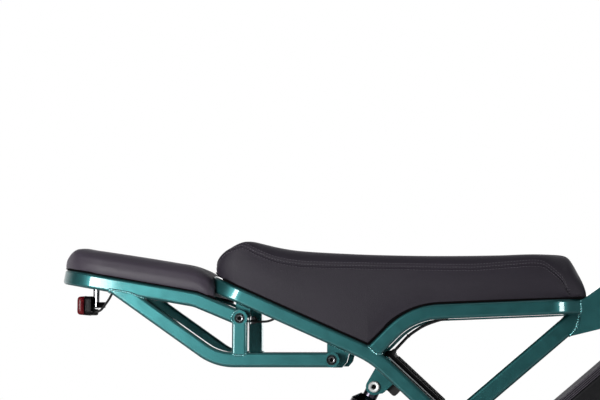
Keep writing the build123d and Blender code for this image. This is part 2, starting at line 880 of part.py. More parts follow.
eye_width = ear_gap - 1.0
eye_hole = bolt_size / 2 + 0.1
eye_bore_length = eye_width + 2 * ear_thickness
perch_radius = spring_radius + spring_wire / 2 + perch_rim
with BuildPart() as shock_head:
    add(round_bar(shock_bolt, eye_outer / 2, eye_width).part)
    add(shock_round(2, shock_neck + 2, eye_outer / 2 - 0.5).part)
    with BuildSketch(shock_plane(shock_neck)):
        Circle(eye_outer / 2 + 3)
    with BuildSketch(shock_plane(shock_shoulder)):
        Circle(perch_radius - 1)
    loft()
    add(shock_round(shock_shoulder, shock_head_end, perch_radius - 1).part)
    add(round_bar(shock_bolt, eye_hole, eye_bore_length).part, mode=Mode.SUBTRACT)
save(shock_head, "shock_head")
save(shock_round(shock_head_end, shock_collar_end, perch_radius), "shock_collar")
save(shock_round(shock_collar_end, damper_end, damper_radius), "shock_damper")
save(shock_round(damper_end, foot_start, shaft_radius), "shock_shaft")
foot_centre = shock_place(shock_length)
with BuildPart() as shock_foot:
    add(round_bar(foot_centre, eye_outer / 2, eye_width).part)
    add(shock_round(foot_start, shock_length - 2, eye_outer / 2 - 0.5).part)
    add(round_bar(foot_centre, eye_hole, eye_bore_length).part, mode=Mode.SUBTRACT)
save(shock_foot, "shock_foot")
save(shock_round(spring_seat_start, foot_start, perch_radius, shaft_radius + 0.2), "shock_spring_seat")

spring_length = spring_seat_start - shock_collar_end - spring_wire
with BuildPart() as coil_spring:
    with BuildLine():
        coil = Helix(pitch=spring_length / spring_turns, height=spring_length, radius=spring_radius)
    with BuildSketch(Plane(origin=coil @ 0, z_dir=coil % 0)):
        Circle(spring_wire / 2)
    sweep(path=coil, is_frenet=True)
with BuildPart() as shock_spring:
    add(shock_plane(shock_collar_end + spring_wire / 2).location * coil_spring.part)
save(shock_spring, "shock_spring")

bolt_head = 19.0
bolt_head_height = 6.0
bolt_grip = ear_gap + 2 * ear_thickness
head_seat = bolt_grip / 2 + bolt_head_height / 2
with BuildPart() as shock_pin:
    add(round_bar(shock_bolt, bolt_size / 2, bolt_grip + 2 * bolt_head_height).part)
    add(Pos(0, -head_seat, 0) * round_bar(shock_bolt, bolt_head / 2, bolt_head_height).part)
    add(Pos(0, head_seat, 0) * round_bar(shock_bolt, bolt_head / 2, bolt_head_height).part)
save(shock_pin, "shock_bolt")

# Rubber stop for the swingarm, held between the ears
with BuildPart() as bump_stop:
    with BuildSketch(Plane(case_plane.origin, x_dir=case_plane.x_dir, z_dir=(0, 1, 0))):
        with Locations(((stop_start + stop_end) / 2, (stop_low + stop_high) / 2)):
            RectangleRounded(stop_end - stop_start, stop_high - stop_low, stop_corner)
    extrude(amount=ear_gap / 2 - soft_gap, both=True)
save(bump_stop, "bump_stop")

# Tail lamp, hung by a strap from the rack's rear cross tube
lamp_depth, lamp_width, lamp_height = lamp_size
rear_cross_centre = rack_centre(rear_cross_at)
lamp_front = lamp_centre[0] + lamp_depth / 2
with BuildPart() as lamp_bracket:
    with BuildSketch(Plane.XZ):
        with BuildLine():
            Polyline(
                (lamp_front, rear_cross_centre[1]),
                (lamp_front + strap_gauge, rear_cross_centre[1]),
                (lamp_front + strap_gauge, lamp_centre[1] - strap_drop),
                (lamp_front, lamp_centre[1] - strap_drop),
                close=True,
            )
        make_face()
    extrude(amount=strap_width / 2, both=True)
with BuildPart() as stud_hole:
    with BuildSketch(Plane.YZ.offset(lamp_front - 1)):
        with Locations((0, lamp_centre[1] + stud_height)):
            Circle(stud_size / 2 + soft_gap)
    extrude(amount=strap_gauge + 2)
rear_cross_bar = round_bar(rear_cross_centre, rack_cross_size / 2, 2 * half_spacing)
save(cut_away(lamp_bracket, rear_cross_bar, stud_hole), "lamp_bracket")
with BuildPart() as lamp_housing:
    with BuildSketch(Plane.YZ.offset(lamp_centre[0] - lamp_depth / 2 + lens_depth)):
        with Locations((0, lamp_centre[1])):
            RectangleRounded(lamp_width, lamp_height, lamp_corner)
    extrude(amount=lamp_depth - lens_depth)
    with BuildSketch(Plane.YZ.offset(lamp_front - 1)):
        with Locations((0, lamp_centre[1] + stud_height)):
            Circle(stud_size / 2)
    extrude(amount=strap_gauge + 2)
    with BuildSketch(Plane.YZ.offset(lamp_front + strap_gauge)):
        with Locations((0, lamp_centre[1] + stud_height)):
            RegularPolygon(clamp_size / 2, 6)
    extrude(amount=clamp_depth)
save(lamp_housing, "lamp_housing")
with BuildPart() as lamp_lens:
    with BuildSketch(Plane.YZ.offset(lamp_centre[0] - lamp_depth / 2)):
        with Locations((0, lamp_centre[1])):
            RectangleRounded(lamp_width - 2 * lens_inset, lamp_height - 2 * lens_inset, lamp_corner)
    extrude(amount=lens_depth)
    chamfer(lamp_lens.edges().group_by(Axis.X)[0], lens_chamfer)
save(lamp_lens, "lamp_lens")


# Cables that lie against the frame
def cable(points, diameter):
    """Straight runs joined by arcs, each as large as its runs allow."""
    vectors = [Vector(*point) for point in points]
    radii = []
    for before, corner, after in zip(vectors, vectors[1:], vectors[2:]):
        arrive = corner - before
        leave = after - corner
        turn = radians(arrive.get_angle(leave))
        radii.append(0.45 * min(arrive.length, leave.length) / tan(turn / 2))
    print("cable radii", [round(radius, 1) for radius in radii])
    with BuildPart() as piece:
        with BuildLine() as route:
            FilletPolyline(*points, radius=radii)
        with BuildSketch(Plane(origin=route.line @ 0, z_dir=route.line % 0)):
            Circle(diameter / 2)
        sweep(path=route.line)
    print("cable length", round(sum(edge.length for edge in route.edges()), 1))
    return piece


# Lead from the lamp into the right rack tube
lamp_lead = [
    (lamp_front, -12, 336),
    (-749, -12, 336),
    (-739, -20, 346),
    (-729, -31, 355),
    (-720, -43, 365),
    (-712, -57, 374),
    (-712, -70.5, 374),
]
save(cable(lamp_lead, lead_diameter), "lamp_lead")

# Wire from the rack tube to the main rail, behind the upper lug
rack_wire = [
    (-522, -70.5, 338),
    (-522, -59, 338),
    (-508, -54.5, 328),
    (-487, -54, 320.5),
    (-464, -55.5, 318),
    (-447, -57, 319),
    (-430, -60, 329),
    (-430, -70.5, 329),
]
save(cable(rack_wire, lead_diameter), "rack_wire")

# Loom from the controller case along the right top rail to the neck
loom_reach = case_end - 9
loom_start = rail_place(loom_reach, case_top)
loom_exit = rail_place(loom_reach, case_top + 12)
loom = [
    (loom_start[0], -60, loom_start[1]),
    (loom_exit[0], -60, loom_exit[1]),
    (-224, -61, 284.5),
    (-214.5, -62, 294.5),
    (-203.5, -63, 302.5),
    (-190, -64, 309.5),
    (-173, -65, 315),
    (-152, -66.2, 320),
    (-125, -67, 327),
    (-95, -67.5, 332.5),
    (-50, -67.5, 336),
    (-8, -67, 338.3),
    (20, -60, 339.5),
    (40, -43.5, 340.5),
    (57, -24, 341),
    (neck_rear[0], -24, 341),
]
save(cable(loom, loom_diameter), "loom")
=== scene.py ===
import json
from functools import cache
from math import atan, atan2, cos, pi, radians, sin, sqrt, tan

import bpy
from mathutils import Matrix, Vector
from mathutils.bvhtree import BVHTree


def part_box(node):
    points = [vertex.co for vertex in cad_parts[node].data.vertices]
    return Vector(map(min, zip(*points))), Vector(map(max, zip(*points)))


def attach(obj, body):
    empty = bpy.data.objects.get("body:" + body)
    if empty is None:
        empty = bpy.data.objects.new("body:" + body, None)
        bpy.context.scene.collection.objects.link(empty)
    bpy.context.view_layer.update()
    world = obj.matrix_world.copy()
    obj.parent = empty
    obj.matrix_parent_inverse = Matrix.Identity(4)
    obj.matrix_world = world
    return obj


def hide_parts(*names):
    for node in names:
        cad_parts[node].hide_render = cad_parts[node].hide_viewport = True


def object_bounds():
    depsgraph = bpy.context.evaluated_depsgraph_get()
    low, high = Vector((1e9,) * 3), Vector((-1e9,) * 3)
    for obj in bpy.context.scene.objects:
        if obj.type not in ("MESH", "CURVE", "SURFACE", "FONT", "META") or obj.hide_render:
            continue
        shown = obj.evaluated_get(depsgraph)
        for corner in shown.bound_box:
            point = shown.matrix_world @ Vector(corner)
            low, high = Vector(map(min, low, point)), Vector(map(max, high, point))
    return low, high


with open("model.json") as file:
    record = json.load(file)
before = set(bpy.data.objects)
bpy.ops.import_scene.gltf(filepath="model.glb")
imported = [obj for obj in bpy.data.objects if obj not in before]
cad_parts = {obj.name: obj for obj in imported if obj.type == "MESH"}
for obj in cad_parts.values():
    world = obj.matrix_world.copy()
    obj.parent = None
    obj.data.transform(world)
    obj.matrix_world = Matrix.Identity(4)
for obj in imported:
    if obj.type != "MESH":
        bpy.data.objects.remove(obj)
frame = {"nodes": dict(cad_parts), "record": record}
nodes = frame["nodes"]
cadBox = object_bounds()
sides = (("right", -1), ("left", 1))


def addObject(name, data):
    thing = bpy.data.objects.new(name, data)
    bpy.context.scene.collection.objects.link(thing)
    return thing


# Camera at the photograph's place, looking along +Y, framed by lens shift and a small turn
camera = {
    "place": (-0.1286, -2.29, 0.2742),
    "lens": 80.2,
    "sensor": 36.0,
    "shift": (-0.17, 0.12),
    "straight": (460, 348),  # pixel that lies straight ahead, at the camera's own height
    "image": (600, 400),
}


def makeCamera():
    data = bpy.data.cameras.new("camera")
    data.lens = camera["lens"]
    data.sensor_width = camera["sensor"]
    data.shift_x, data.shift_y = camera["shift"]
    pixelLens = camera["lens"] / camera["sensor"] * camera["image"][0]
    aheadX = camera["straight"][0] - camera["image"][0] * (0.5 - camera["shift"][0])
    aheadY = camera["straight"][1] - camera["image"][1] / 2 - camera["image"][0] * camera["shift"][1]
    body = addObject("camera", data)
    body.location = camera["place"]
    body.rotation_euler = (pi / 2 + atan(aheadY / pixelLens), 0, atan(aheadX / pixelLens))
    bpy.context.scene.camera = body


makeCamera()
bpy.context.scene.view_settings.view_transform = "Standard"
print("camera made")


# Node helpers for the materials. Each one works in the tree of the socket that it is given
def addNode(tree, kind, **settings):
    node = tree.nodes.new(kind)
    for key, value in settings.items():
        if key in node.inputs.keys():
            node.inputs[key].default_value = value
        else:
            setattr(node, key, value)
    return node


def newMaterial(name):
    material = bpy.data.materials.new(name)
    material.use_nodes = True
    tree = material.node_tree
    point = addNode(tree, "ShaderNodeTexCoord").outputs["Object"]
    return material, point, tree.nodes["Principled BSDF"].inputs


def wire(source, target):
    source.id_data.links.new(source, target)


def setInputs(inputs, values):
    for key, value in values.items():
        inputs[key].default_value = value


def noise(point, scale, detail=3):
    node = addNode(point.id_data, "ShaderNodeTexNoise", Scale=scale, Detail=detail)
    wire(point, node.inputs["Vector"])
    return node.outputs["Fac"]


def cells(point, scale):
    node = addNode(point.id_data, "ShaderNodeTexVoronoi", Scale=scale)
    wire(point, node.inputs["Vector"])
    return node.outputs["Distance"]


def span(value, low, high, start=0.0, end=1.0):
    node = addNode(value.id_data, "ShaderNodeMapRange")
    wire(value, node.inputs["Value"])
    setInputs(node.inputs, {"From Min": low, "From Max": high, "To Min": start, "To Max": end})
    return node.outputs["Result"]


# Noise that goes from start to end within its middle range
def patches(point, scale, detail=3, start=0.0, end=1.0, reach=0.2):
    return span(noise(point, scale, detail), 0.5 - reach, 0.5 + reach, start, end)


# The mix node's colour sockets have no names of their own, only numbers
def mixColour(factor, first, second):
    node = addNode(factor.id_data, "ShaderNodeMix", data_type="RGBA")
    wire(factor, node.inputs["Factor"])
    for socket, value in ((node.inputs[6], first), (node.inputs[7], second)):
        if isinstance(value, (tuple, list)):
            socket.default_value = (*value, 1.0)
        else:
            wire(value, socket)
    return node.outputs[2]


def bump(height, strength, distance, before=None):
    node = addNode(height.id_data, "ShaderNodeBump", Strength=strength, Distance=distance)
    wire(height, node.inputs["Height"])
    if before is not None:
        wire(before, node.inputs["Normal"])
    return node.outputs["Normal"]


# Candy teal paint: metallic flakes under a clear coat, darker and lighter in broad random patches
def makePaint(name, deep, clear, flake, roughness):
    material, point, inputs = newMaterial(name)
    flakes = cells(point, 2600)
    depth = patches(point, 18, 4, reach=0.15)
    mottle = patches(point, 240, 3, 0.0, 0.4, 0.15)
    base = mixColour(mottle, mixColour(depth, deep, clear), flake)
    wire(mixColour(span(flakes, 0.1, 0.6), base, flake), inputs["Base Color"])
    wire(patches(point, 60, 2, roughness - 0.05, roughness + 0.05), inputs["Roughness"])
    wire(bump(flakes, 0.05, 0.0002), inputs["Normal"])
    wire(bump(noise(point, 420, 2), 0.04, 0.0004), inputs["Coat Normal"])
    setInputs(inputs, {"Metallic": 0.72, "Coat Weight": 1.0, "Coat Roughness": 0.06})
    return material


# Moulded seat cover: fine pebble grain with soft sheen
def makeCover(name, dark, light, roughness, gloss):
    material, point, inputs = newMaterial(name)
    grain = cells(point, 900)
    pores = bump(noise(point, 2400), 0.15, 0.0003)
    wire(mixColour(patches(point, 9, 4), dark, light), inputs["Base Color"])
    wire(span(grain, 0.0, 0.6, roughness - 0.06, roughness + 0.08), inputs["Roughness"])
    wire(bump(grain, 0.35, 0.0006, pores), inputs["Normal"])
    sheen = {"Sheen Weight": 0.1, "Sheen Roughness": 0.5, "Sheen Tint": (0.75, 0.7, 0.8, 1)}
    setInputs(inputs, {"Specular IOR Level": gloss, **sheen})
    return material


# Moulded plastic with a spark-eroded grain
def makePlastic(name, colour, roughness, grainSize=1500, gloss=0.5):
    material, point, inputs = newMaterial(name)
    deeper = [value * 0.75 for value in colour]
    wire(mixColour(patches(point, 14), deeper, colour), inputs["Base Color"])
    wire(patches(point, 90, 3, roughness - 0.05, roughness + 0.07), inputs["Roughness"])
    wire(bump(noise(point, grainSize, 2), 0.2, 0.0003), inputs["Normal"])
    setInputs(inputs, {"Specular IOR Level": gloss})
    return material


# Bare or plated metal with fine turning marks
def makeMetal(name, colour, roughness, marks=0.15, metallic=1.0):
    material, point, inputs = newMaterial(name)
    deeper = [value * 0.8 for value in colour]
    wire(mixColour(patches(point, 40, 4), deeper, colour), inputs["Base Color"])
    wire(patches(point, 260, 3, roughness - 0.05, roughness + 0.08), inputs["Roughness"])
    wire(bump(noise(point, 1200), marks, 0.0002), inputs["Normal"])
    setInputs(inputs, {"Metallic": metallic})
    return material


# Red lens: clear coloured plastic with an inner honeycomb of reflectors
def makeLens():
    material, point, inputs = newMaterial("redLens")
    facets = cells(point, 330)
    shade = mixColour(span(facets, 0.0, 0.6), (0.22, 0.008, 0.012), (0.08, 0.002, 0.005))
    wire(shade, inputs["Base Color"])
    wire(bump(facets, 0.5, 0.001), inputs["Normal"])
    coat = {"Coat Weight": 0.15, "Coat Roughness": 0.12}
    setInputs(inputs, {"Roughness": 0.35, "Specular IOR Level": 0.15, **coat})
    return material


paint = makePaint("tealPaint", (0.0085, 0.064, 0.071), (0.0135, 0.1, 0.103), (0.021, 0.138, 0.142), 0.38)
# Welds take a much lighter, glossier copy of the teal: painted highlight standing for the glints on the
# beads
weldGlintPaint = makePaint("weldGlintPaint", (0.04, 0.17, 0.18), (0.08, 0.28, 0.29), (0.14, 0.4, 0.41), 0.24)
seatCover = makeCover("seatCover", (0.013, 0.0096, 0.0166), (0.017, 0.0125, 0.0215), 0.55, 0.38)
padCover = makeCover("padCover", (0.032, 0.0245, 0.037), (0.044, 0.034, 0.05), 0.44, 0.5)
blackPlastic = makePlastic("blackPlastic", (0.007, 0.0066, 0.0078), 0.46, gloss=0.3)
greyPlastic = makePlastic("greyPlastic", (0.078, 0.069, 0.084), 0.62, gloss=0.16)
trimBlack = makePlastic("trimBlack", (0.0016, 0.0015, 0.0018), 0.8, gloss=0.08)
casePlastic = makePlastic("casePlastic", (0.0045, 0.0042, 0.005), 0.62, gloss=0.16)
# Near-white plastic for the cords along the controller case: a painted highlight
highlightCord = makePlastic("highlightCord", (0.9, 0.92, 0.92), 0.3)
thread = makePlastic("thread", (0.085, 0.075, 0.092), 0.65, 3000)
screwSteel = makeMetal("screwSteel", (0.55, 0.54, 0.53), 0.22)
boltZinc = makeMetal("boltZinc", (0.86, 0.87, 0.86), 0.42, metallic=0.7)
darkSteel = makeMetal("darkSteel", (0.16, 0.16, 0.165), 0.25)
shockAlloy = makeMetal("shockAlloy", (0.1, 0.09, 0.115), 0.24)
rubber = makePlastic("rubber", (0.012, 0.012, 0.012), 0.7, 900)
brightSteel = makeMetal("brightSteel", (0.62, 0.62, 0.63), 0.28)
chrome = makeMetal("chrome", (0.8, 0.8, 0.82), 0.1, 0.03)
darkAlloy = makeMetal("darkAlloy", (0.03, 0.03, 0.033), 0.35, 0.1, 0.8)
blackEnamel = makePlastic("blackEnamel", (0.015, 0.015, 0.016), 0.22)
redLens = makeLens()

# The materials of each slot. The first is also the one of the CAD's own nodes
finishes = {
    "teal_paint": (paint, weldGlintPaint),
    "seat_cover": (seatCover, padCover, thread),
    "black_plastic": (blackPlastic, trimBlack, casePlastic),
    "grey_plastic": (greyPlastic,),
    "rubber": (rubber,),
    "red_lens": (redLens,),
    "bright_steel": (brightSteel, screwSteel, boltZinc, highlightCord),
    "chrome": (chrome,),
    "dark_alloy": (darkAlloy, darkSteel),
    "black_spring": (blackEnamel,),
}
slotOf = {entry["node"]: entry["material_slot"] for entry in frame["record"]["subparts"]}
ownFinish = {
    "seat_pan": trimBlack,
    "pillion_pan": trimBlack,
    "lamp_housing": trimBlack,
    "shock_head": shockAlloy,
    "controller_case": casePlastic,
}
for nodeName, node in nodes.items():
    node.data.materials.clear()
    node.data.materials.append(ownFinish.get(nodeName, finishes[slotOf[nodeName]][0]))
print("materials made")


# Puts a mesh or a curve in the scene as a piece of the only body
def addPiece(name, data, material):
    data.materials.append(material)
    piece = addObject(name, data)
    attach(piece, "root")
    return piece


def meshObject(name, vertices, faces, material, slot=None):
    data = bpy.data.meshes.new(name)
    data.from_pydata([tuple(vertex) for vertex in vertices], [], faces)
    data.update()
    data.shade_smooth()
    return addPiece(name, data, material)


# Adds a skin over closed rings, each a list with as many points as the others
def addSkin(vertices, faces, rings, closeEnds=True):
    first, count = len(vertices), len(rings[0])
    last = first + (len(rings) - 1) * count
    for ring in rings:
        vertices += ring
    for low in range(first, last, count):
        for step in range(count):
            after = (step + 1) % count
            faces.append((low + step, low + after, low + count + after, low + count + step))
    if closeEnds:
        faces.append(tuple(reversed(range(first, first + count))))
        faces.append(tuple(range(last, last + count)))


def loft(name, rings, material, slot=None, closeEnds=True):
    vertices, faces = [], []
    addSkin(vertices, faces, rings, closeEnds)
    return meshObject(name, vertices, faces, material, slot)


# A ring of points round a centre, in the plane of the directions side and up
def ringAt(centre, side, up, radius, count, index=0, shape=None):
    ring = []
    for step in range(count):
        angle = 2 * pi * step / count
        size = radius * (shape(index, angle) if shape else 1)
        ring.append(centre + side * (size * cos(angle)) + up * (size * sin(angle)))
    return ring


# A round cord or welt along a line of points: smooth for a cable, else in straight runs
def sweep(name, points, radius, material, smooth=False):
    curve = bpy.data.curves.new(name, "CURVE")
    curve.dimensions = "3D"
    curve.bevel_depth = radius
    curve.bevel_resolution = 4 if smooth else 2
    curve.use_fill_caps = True
    spline = curve.splines.new("NURBS" if smooth else "POLY")
    spline.points.add(len(points) - 1)
    for point, place in zip(spline.points, points):
        point.co = (*place, 1)
    if smooth:
        spline.order_u = 3
        spline.use_endpoint_u = True
    return addPiece(name, curve, material)


# Smooth value of a table of (key, value) pairs at a key
def between(table, key):
    if key <= table[0][0]:
        return table[0][1]
    for index, ((lowKey, low), (highKey, high)) in enumerate(zip(table, table[1:])):
        if key <= highKey:
            gap = highKey - lowKey
            before = table[index - 1] if index else (lowKey - gap, low)
            following = table[index + 2] if index + 2 < len(table) else (highKey + gap, high)
            startSlope = (high - before[1]) / (highKey - before[0]) * gap
            endSlope = (following[1] - low) / (following[0] - lowKey) * gap
            t = (key - lowKey) / gap
            ends = (2 * t**3 - 3 * t**2 + 1) * low + (3 * t**2 - 2 * t**3) * high
            return ends + (t**3 - 2 * t**2 + t) * startSlope + (t**3 - t**2) * endSlope
    return table[-1][1]


# Bench seat: sections across the bike, set out along its length
# Tables hold X and a height, or X and a half width, in metres
seatTop = [
    (-0.5405, 0.413), (-0.5375, 0.4198), (-0.5285, 0.4288), (-0.515, 0.4398), (-0.501, 0.449),
    (-0.488, 0.4545), (-0.479, 0.4555), (-0.468, 0.453), (-0.44, 0.4463), (-0.416, 0.442),
    (-0.392, 0.4393), (-0.344, 0.4361), (-0.273, 0.4328), (-0.172, 0.4308), (-0.061, 0.4316),
    (-0.014, 0.4332), (0.033, 0.433), (0.044, 0.432), (0.0525, 0.4298), (0.0585, 0.4248), (0.064, 0.4152),
    (0.07, 0.4036), (0.075, 0.394), (0.079, 0.3845), (0.0815, 0.3765), (0.0842, 0.3625),
]
seatWidth = [
    (-0.5405, 0.05), (-0.5375, 0.066), (-0.5285, 0.082), (-0.515, 0.091), (-0.495, 0.0965),
    (-0.43, 0.098), (-0.3, 0.0975), (-0.18, 0.096), (-0.08, 0.093), (-0.02, 0.088), (0.03, 0.079),
    (0.06, 0.069), (0.074, 0.061), (0.0842, 0.05),
]
# Height of the seam between the top and the side panel
seamHeight = [
    (-0.54, 0.406), (-0.5285, 0.426), (-0.501, 0.438), (-0.486, 0.441), (-0.467, 0.4311),
    (-0.455, 0.4261), (-0.439, 0.4194), (-0.412, 0.4131), (-0.384, 0.4095), (-0.326, 0.4077),
    (-0.234, 0.4058), (-0.109, 0.4042), (-0.046, 0.4085), (0.0045, 0.4105), (0.027, 0.397),
    (0.0435, 0.38), (0.0495, 0.364), (0.058, 0.347), (0.0835, 0.346),
]
seamEnd = 0.06  # the seam runs out here, at the nose
tailStart, tailRun, tailLift = -0.518, 0.0225, 0.007  # the underside's round corner at the tail
railBend = (-0.2703, 0.2611)
railSlope = radians(-24.0)
topBend = (-0.2076, 0.3324)
topSlope = radians(2.2)
topRise = radians(45.0)
cushionLift = 0.0171
padLift = 0.0163
skirt = 0.0024  # how far the cushions' edges hang over the pans
tuck = 0.004  # how far the edges draw in towards the pans
riseRadius = 0.115 + cushionLift
riseShift = 0.55  # share of the lift's shift that the rise's corner takes
seat = {
    "seamRoom": (0.0035, 0.006),  # least height under the seam and over it
    "seamStart": 0.0035,  # the top's rounding starts this far over the seam
    "crown": 0.004, "bulge": 0.0035, "sink": 0.001, "inset": 0.0005, "roundness": 1.35,
    "roundSteps": 11, "fade": 0.01,
    "groove": ((-0.0026, 0.0004), (-0.0012, 0.0014), (0.0, 0.0024), (0.0012, 0.0014), (0.0026, 0.0003)),
    "vee": -0.2811,  # where the rise leaves the main rail
    "stations": 96, "bunching": 0.022,
}


# Height at X of a line through a bend, moved square to itself by a lift
def lineHeight(x, bend, slope, lift):
    return bend[1] + (x - bend[0]) * tan(slope) + lift / cos(slope)


# Height of the pan's upper face under the cushion: along the main rail, the rise, then the top rail
def seatBottom(x):
    shift = cushionLift * (sin(topRise) - sin(topSlope)) / sin(topRise - topSlope)
    cornerX = topBend[0] - shift * riseShift
    tangent = riseRadius * tan((topRise - topSlope) / 2)
    endX = cornerX + tangent * cos(topSlope)
    if x >= endX:
        upper = lineHeight(x, topBend, topSlope, cushionLift)
    elif x <= cornerX - tangent * cos(topRise):
        upper = lineHeight(x, topBend, topRise, cushionLift)
    else:
        centreX = endX + riseRadius * sin(topSlope)
        centreHeight = lineHeight(endX, topBend, topSlope, cushionLift) - riseRadius * cos(topSlope)
        upper = centreHeight + sqrt(max(riseRadius**2 - (x - centreX) ** 2, 0))
    tail = min(max((tailStart - x) / tailRun, 0), 1)
    return max(lineHeight(x, railBend, railSlope, cushionLift), upper) + tailLift * (1 - sqrt(1 - tail**2))


# Heights of the underside, the seam and the top at X, and half the width
def seatMeasures(x):
    low, top = seatBottom(x), between(seatTop, x)
    below, above = seat["seamRoom"]
    seam = min(max(between(seamHeight, x), low + below), top - above)
    return low, seam, top, between(seatWidth, x)


# Half of a cushion's underside, from the middle out to the edge that hangs over the pan
def underside(half, low, flat):
    edge = half - tuck
    right = [(share * flat, low) for share in (0, 0.3, 0.6, 0.85)]
    right.append((edge + 0.0002, low))
    return right + [(edge + 0.0006, low - skirt + 0.0003), (edge + 0.0018, low - skirt + 0.0001)]


# Closes half a section with its crowned top, and mirrors it into a ring at X
def sectionRing(x, right, top, crown, shares):
    edge = right[-1][0]
    right += [(edge * share, top - crown * share**2) for share in shares]
    right.append((0.0, top))
    return [Vector((x, y, z)) for y, z in right + [(-y, z) for y, z in reversed(right[1:-1])]]


def seatSection(x):
    low, seam, top, half = seatMeasures(x)
    right = underside(half, low, half - tuck)
    low -= skirt
    for share in (0.06, 0.14, 0.26, 0.42, 0.58, 0.74, 0.86, 0.94):
        across = half - tuck * (1 - share) ** 2 / 2 + seat["bulge"] * sin(pi * share) - seat["sink"]
        right.append((across, low + (seam - low) * share))
    fade = min(max((seamEnd - x) / seat["fade"], 0), 1)
    right += [(half - sink * fade, seam + lift) for lift, sink in seat["groove"]]
    drop = top - seam
    radius = min(drop - seat["crown"], half / 2)
    for step in range(seat["roundSteps"]):
        angle = pi / 2 * (step + 1) / seat["roundSteps"]
        across = half - seat["inset"] - radius * seat["roundness"] * (1 - cos(angle))
        rise = (drop - seat["seamStart"] - seat["crown"]) * sin(angle)
        right.append((across, seam + seat["seamStart"] + rise))
    return sectionRing(x, right, top, seat["crown"], (0.78, 0.52, 0.26))


# A padded piece over its sections, smoothed by one level of subdivision
def makeCushion(name, node, rings, material):
    piece = loft(name, rings, material)
    smooth = piece.modifiers.new("smooth", "SUBSURF")
    smooth.levels = 1
    smooth.render_levels = 1
    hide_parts(node)


def makeBench():
    first, last = seatTop[0][0], seatTop[-1][0]
    stations = [seat["vee"]]
    for step in range(seat["stations"] + 1):
        share = step / seat["stations"]
        share -= seat["bunching"] * sin(2 * pi * share)
        stations.append(first + (last - first) * share)
    makeCushion("benchSeat", "bench_seat", [seatSection(x) for x in sorted(stations)], seatCover)


makeBench()
print("bench seat made")


# Pillion pad: the same kind of sections, on the rack's slope
padTop = [
    (-0.8052, 0.412), (-0.8015, 0.4245), (-0.7905, 0.4383), (-0.776, 0.4455), (-0.751, 0.4422),
    (-0.703, 0.435), (-0.655, 0.4275), (-0.607, 0.4195), (-0.582, 0.415), (-0.564, 0.4085),
    (-0.555, 0.4035), (-0.546, 0.3965), (-0.54, 0.387), (-0.537, 0.379),
]
padWidth = [
    (-0.8052, 0.018), (-0.8015, 0.036), (-0.79, 0.058), (-0.776, 0.075), (-0.76, 0.086), (-0.73, 0.0965),
    (-0.71, 0.098), (-0.564, 0.098), (-0.546, 0.096), (-0.537, 0.09),
]
rackKnee = (-0.5667, 0.3544)
rackSlope = radians(-9.9)
rackFrontSlope = -atan2(0.031, 0.0741)
pad = {
    "flat": 0.003, "inset": 0.002, "radius": 0.022, "roundness": 1.5, "roundSteps": 9, "crown": 0.003,
    "stations": 60,
    "start": 0.08,  # the stations bunch at both ends, less so at the tail
}


def padBottom(x):
    return min(lineHeight(x, rackKnee, slope, padLift) for slope in (rackSlope, rackFrontSlope))


def padSection(x):
    top, low, half = between(padTop, x), padBottom(x), between(padWidth, x)
    right = underside(half, low, half - pad["flat"])
    low -= skirt
    radius = min(pad["radius"], (top - low) / 2)
    wall = top - low - radius
    for share in (0.12, 0.28, 0.46, 0.64, 0.82, 0.96):
        right.append((half - pad["inset"] * (1 - sin(pi * share)), low + wall * share))
    for step in range(pad["roundSteps"]):
        angle = pi / 2 * (step + 1) / pad["roundSteps"]
        across = half - pad["inset"] - radius * pad["roundness"] * (1 - cos(angle))
        right.append((across, low + wall + (radius - pad["crown"]) * sin(angle)))
    return sectionRing(x, right, top, pad["crown"], (0.75, 0.5, 0.25))


def makePad():
    first, last = padTop[0][0], padTop[-1][0]
    rings = []
    for step in range(pad["stations"] + 1):
        share = pad["start"] + (1 - pad["start"]) * step / pad["stations"]
        rings.append(padSection(first + (last - first) * (0.5 - 0.5 * cos(pi * share))))
    makeCushion("pillionPad", "pillion_pad", rings, padCover)


makePad()
print("pillion pad made")


# Cables: name, node, diameter, length and the points of the run, from where it leaves the bike
cables = (
    ("lampLead", "lamp_lead", 0.004, 0.0938, (
        (-0.7605, -0.012, 0.336), (-0.749, -0.012, 0.336), (-0.739, -0.02, 0.346),
        (-0.729, -0.031, 0.355), (-0.72, -0.043, 0.365), (-0.712, -0.057, 0.374),
        (-0.712, -0.0705, 0.374),
    )),
    ("rackWire", "rack_wire", 0.004, 0.1185, (
        (-0.522, -0.0705, 0.338), (-0.522, -0.059, 0.338), (-0.508, -0.0545, 0.328),
        (-0.487, -0.054, 0.3205), (-0.464, -0.0555, 0.318), (-0.447, -0.057, 0.319),
        (-0.43, -0.06, 0.329), (-0.43, -0.0705, 0.329),
    )),
    ("mainLoom", "loom", 0.005, 0.3485, (
        (-0.2422, -0.06, 0.2651), (-0.234, -0.06, 0.2739), (-0.224, -0.061, 0.2845),
        (-0.2145, -0.062, 0.2945), (-0.2035, -0.063, 0.3025), (-0.19, -0.064, 0.311),
        (-0.173, -0.065, 0.3178), (-0.152, -0.0662, 0.3235), (-0.125, -0.067, 0.33),
        (-0.095, -0.0675, 0.335), (-0.05, -0.0675, 0.338), (-0.008, -0.067, 0.3383),
        (0.02, -0.06, 0.3395), (0.04, -0.0435, 0.3405), (0.057, -0.024, 0.341),
        (0.0717, -0.024, 0.341),
    )),
)
for cableName, cableNode, diameter, cableLength, run in cables:
    cable = sweep(cableName, run, diameter / 2, rubber, smooth=True)
    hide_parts(cableNode)
print("cables made")


# Turned pieces: rings set out along an axis, each at a reach from the place and with its own radius
def turnedRings(place, axis, profile, count, shape=None):
    spin = Vector(axis).normalized()
    side = spin.orthogonal().normalized()
    up = spin.cross(side)
    rings = []
    for index, (reach, radius) in enumerate(profile):
        rings.append(ringAt(Vector(place) + spin * reach, side, up, radius, count, index, shape))
    return rings


def sharpen(piece):
    piece.data.set_sharp_from_angle(angle=radians(32))
    return piece


def turned(name, place, axis, profile, material, count=32, shape=None):
    return sharpen(loft(name, turnedRings(place, axis, profile, count, shape), material))


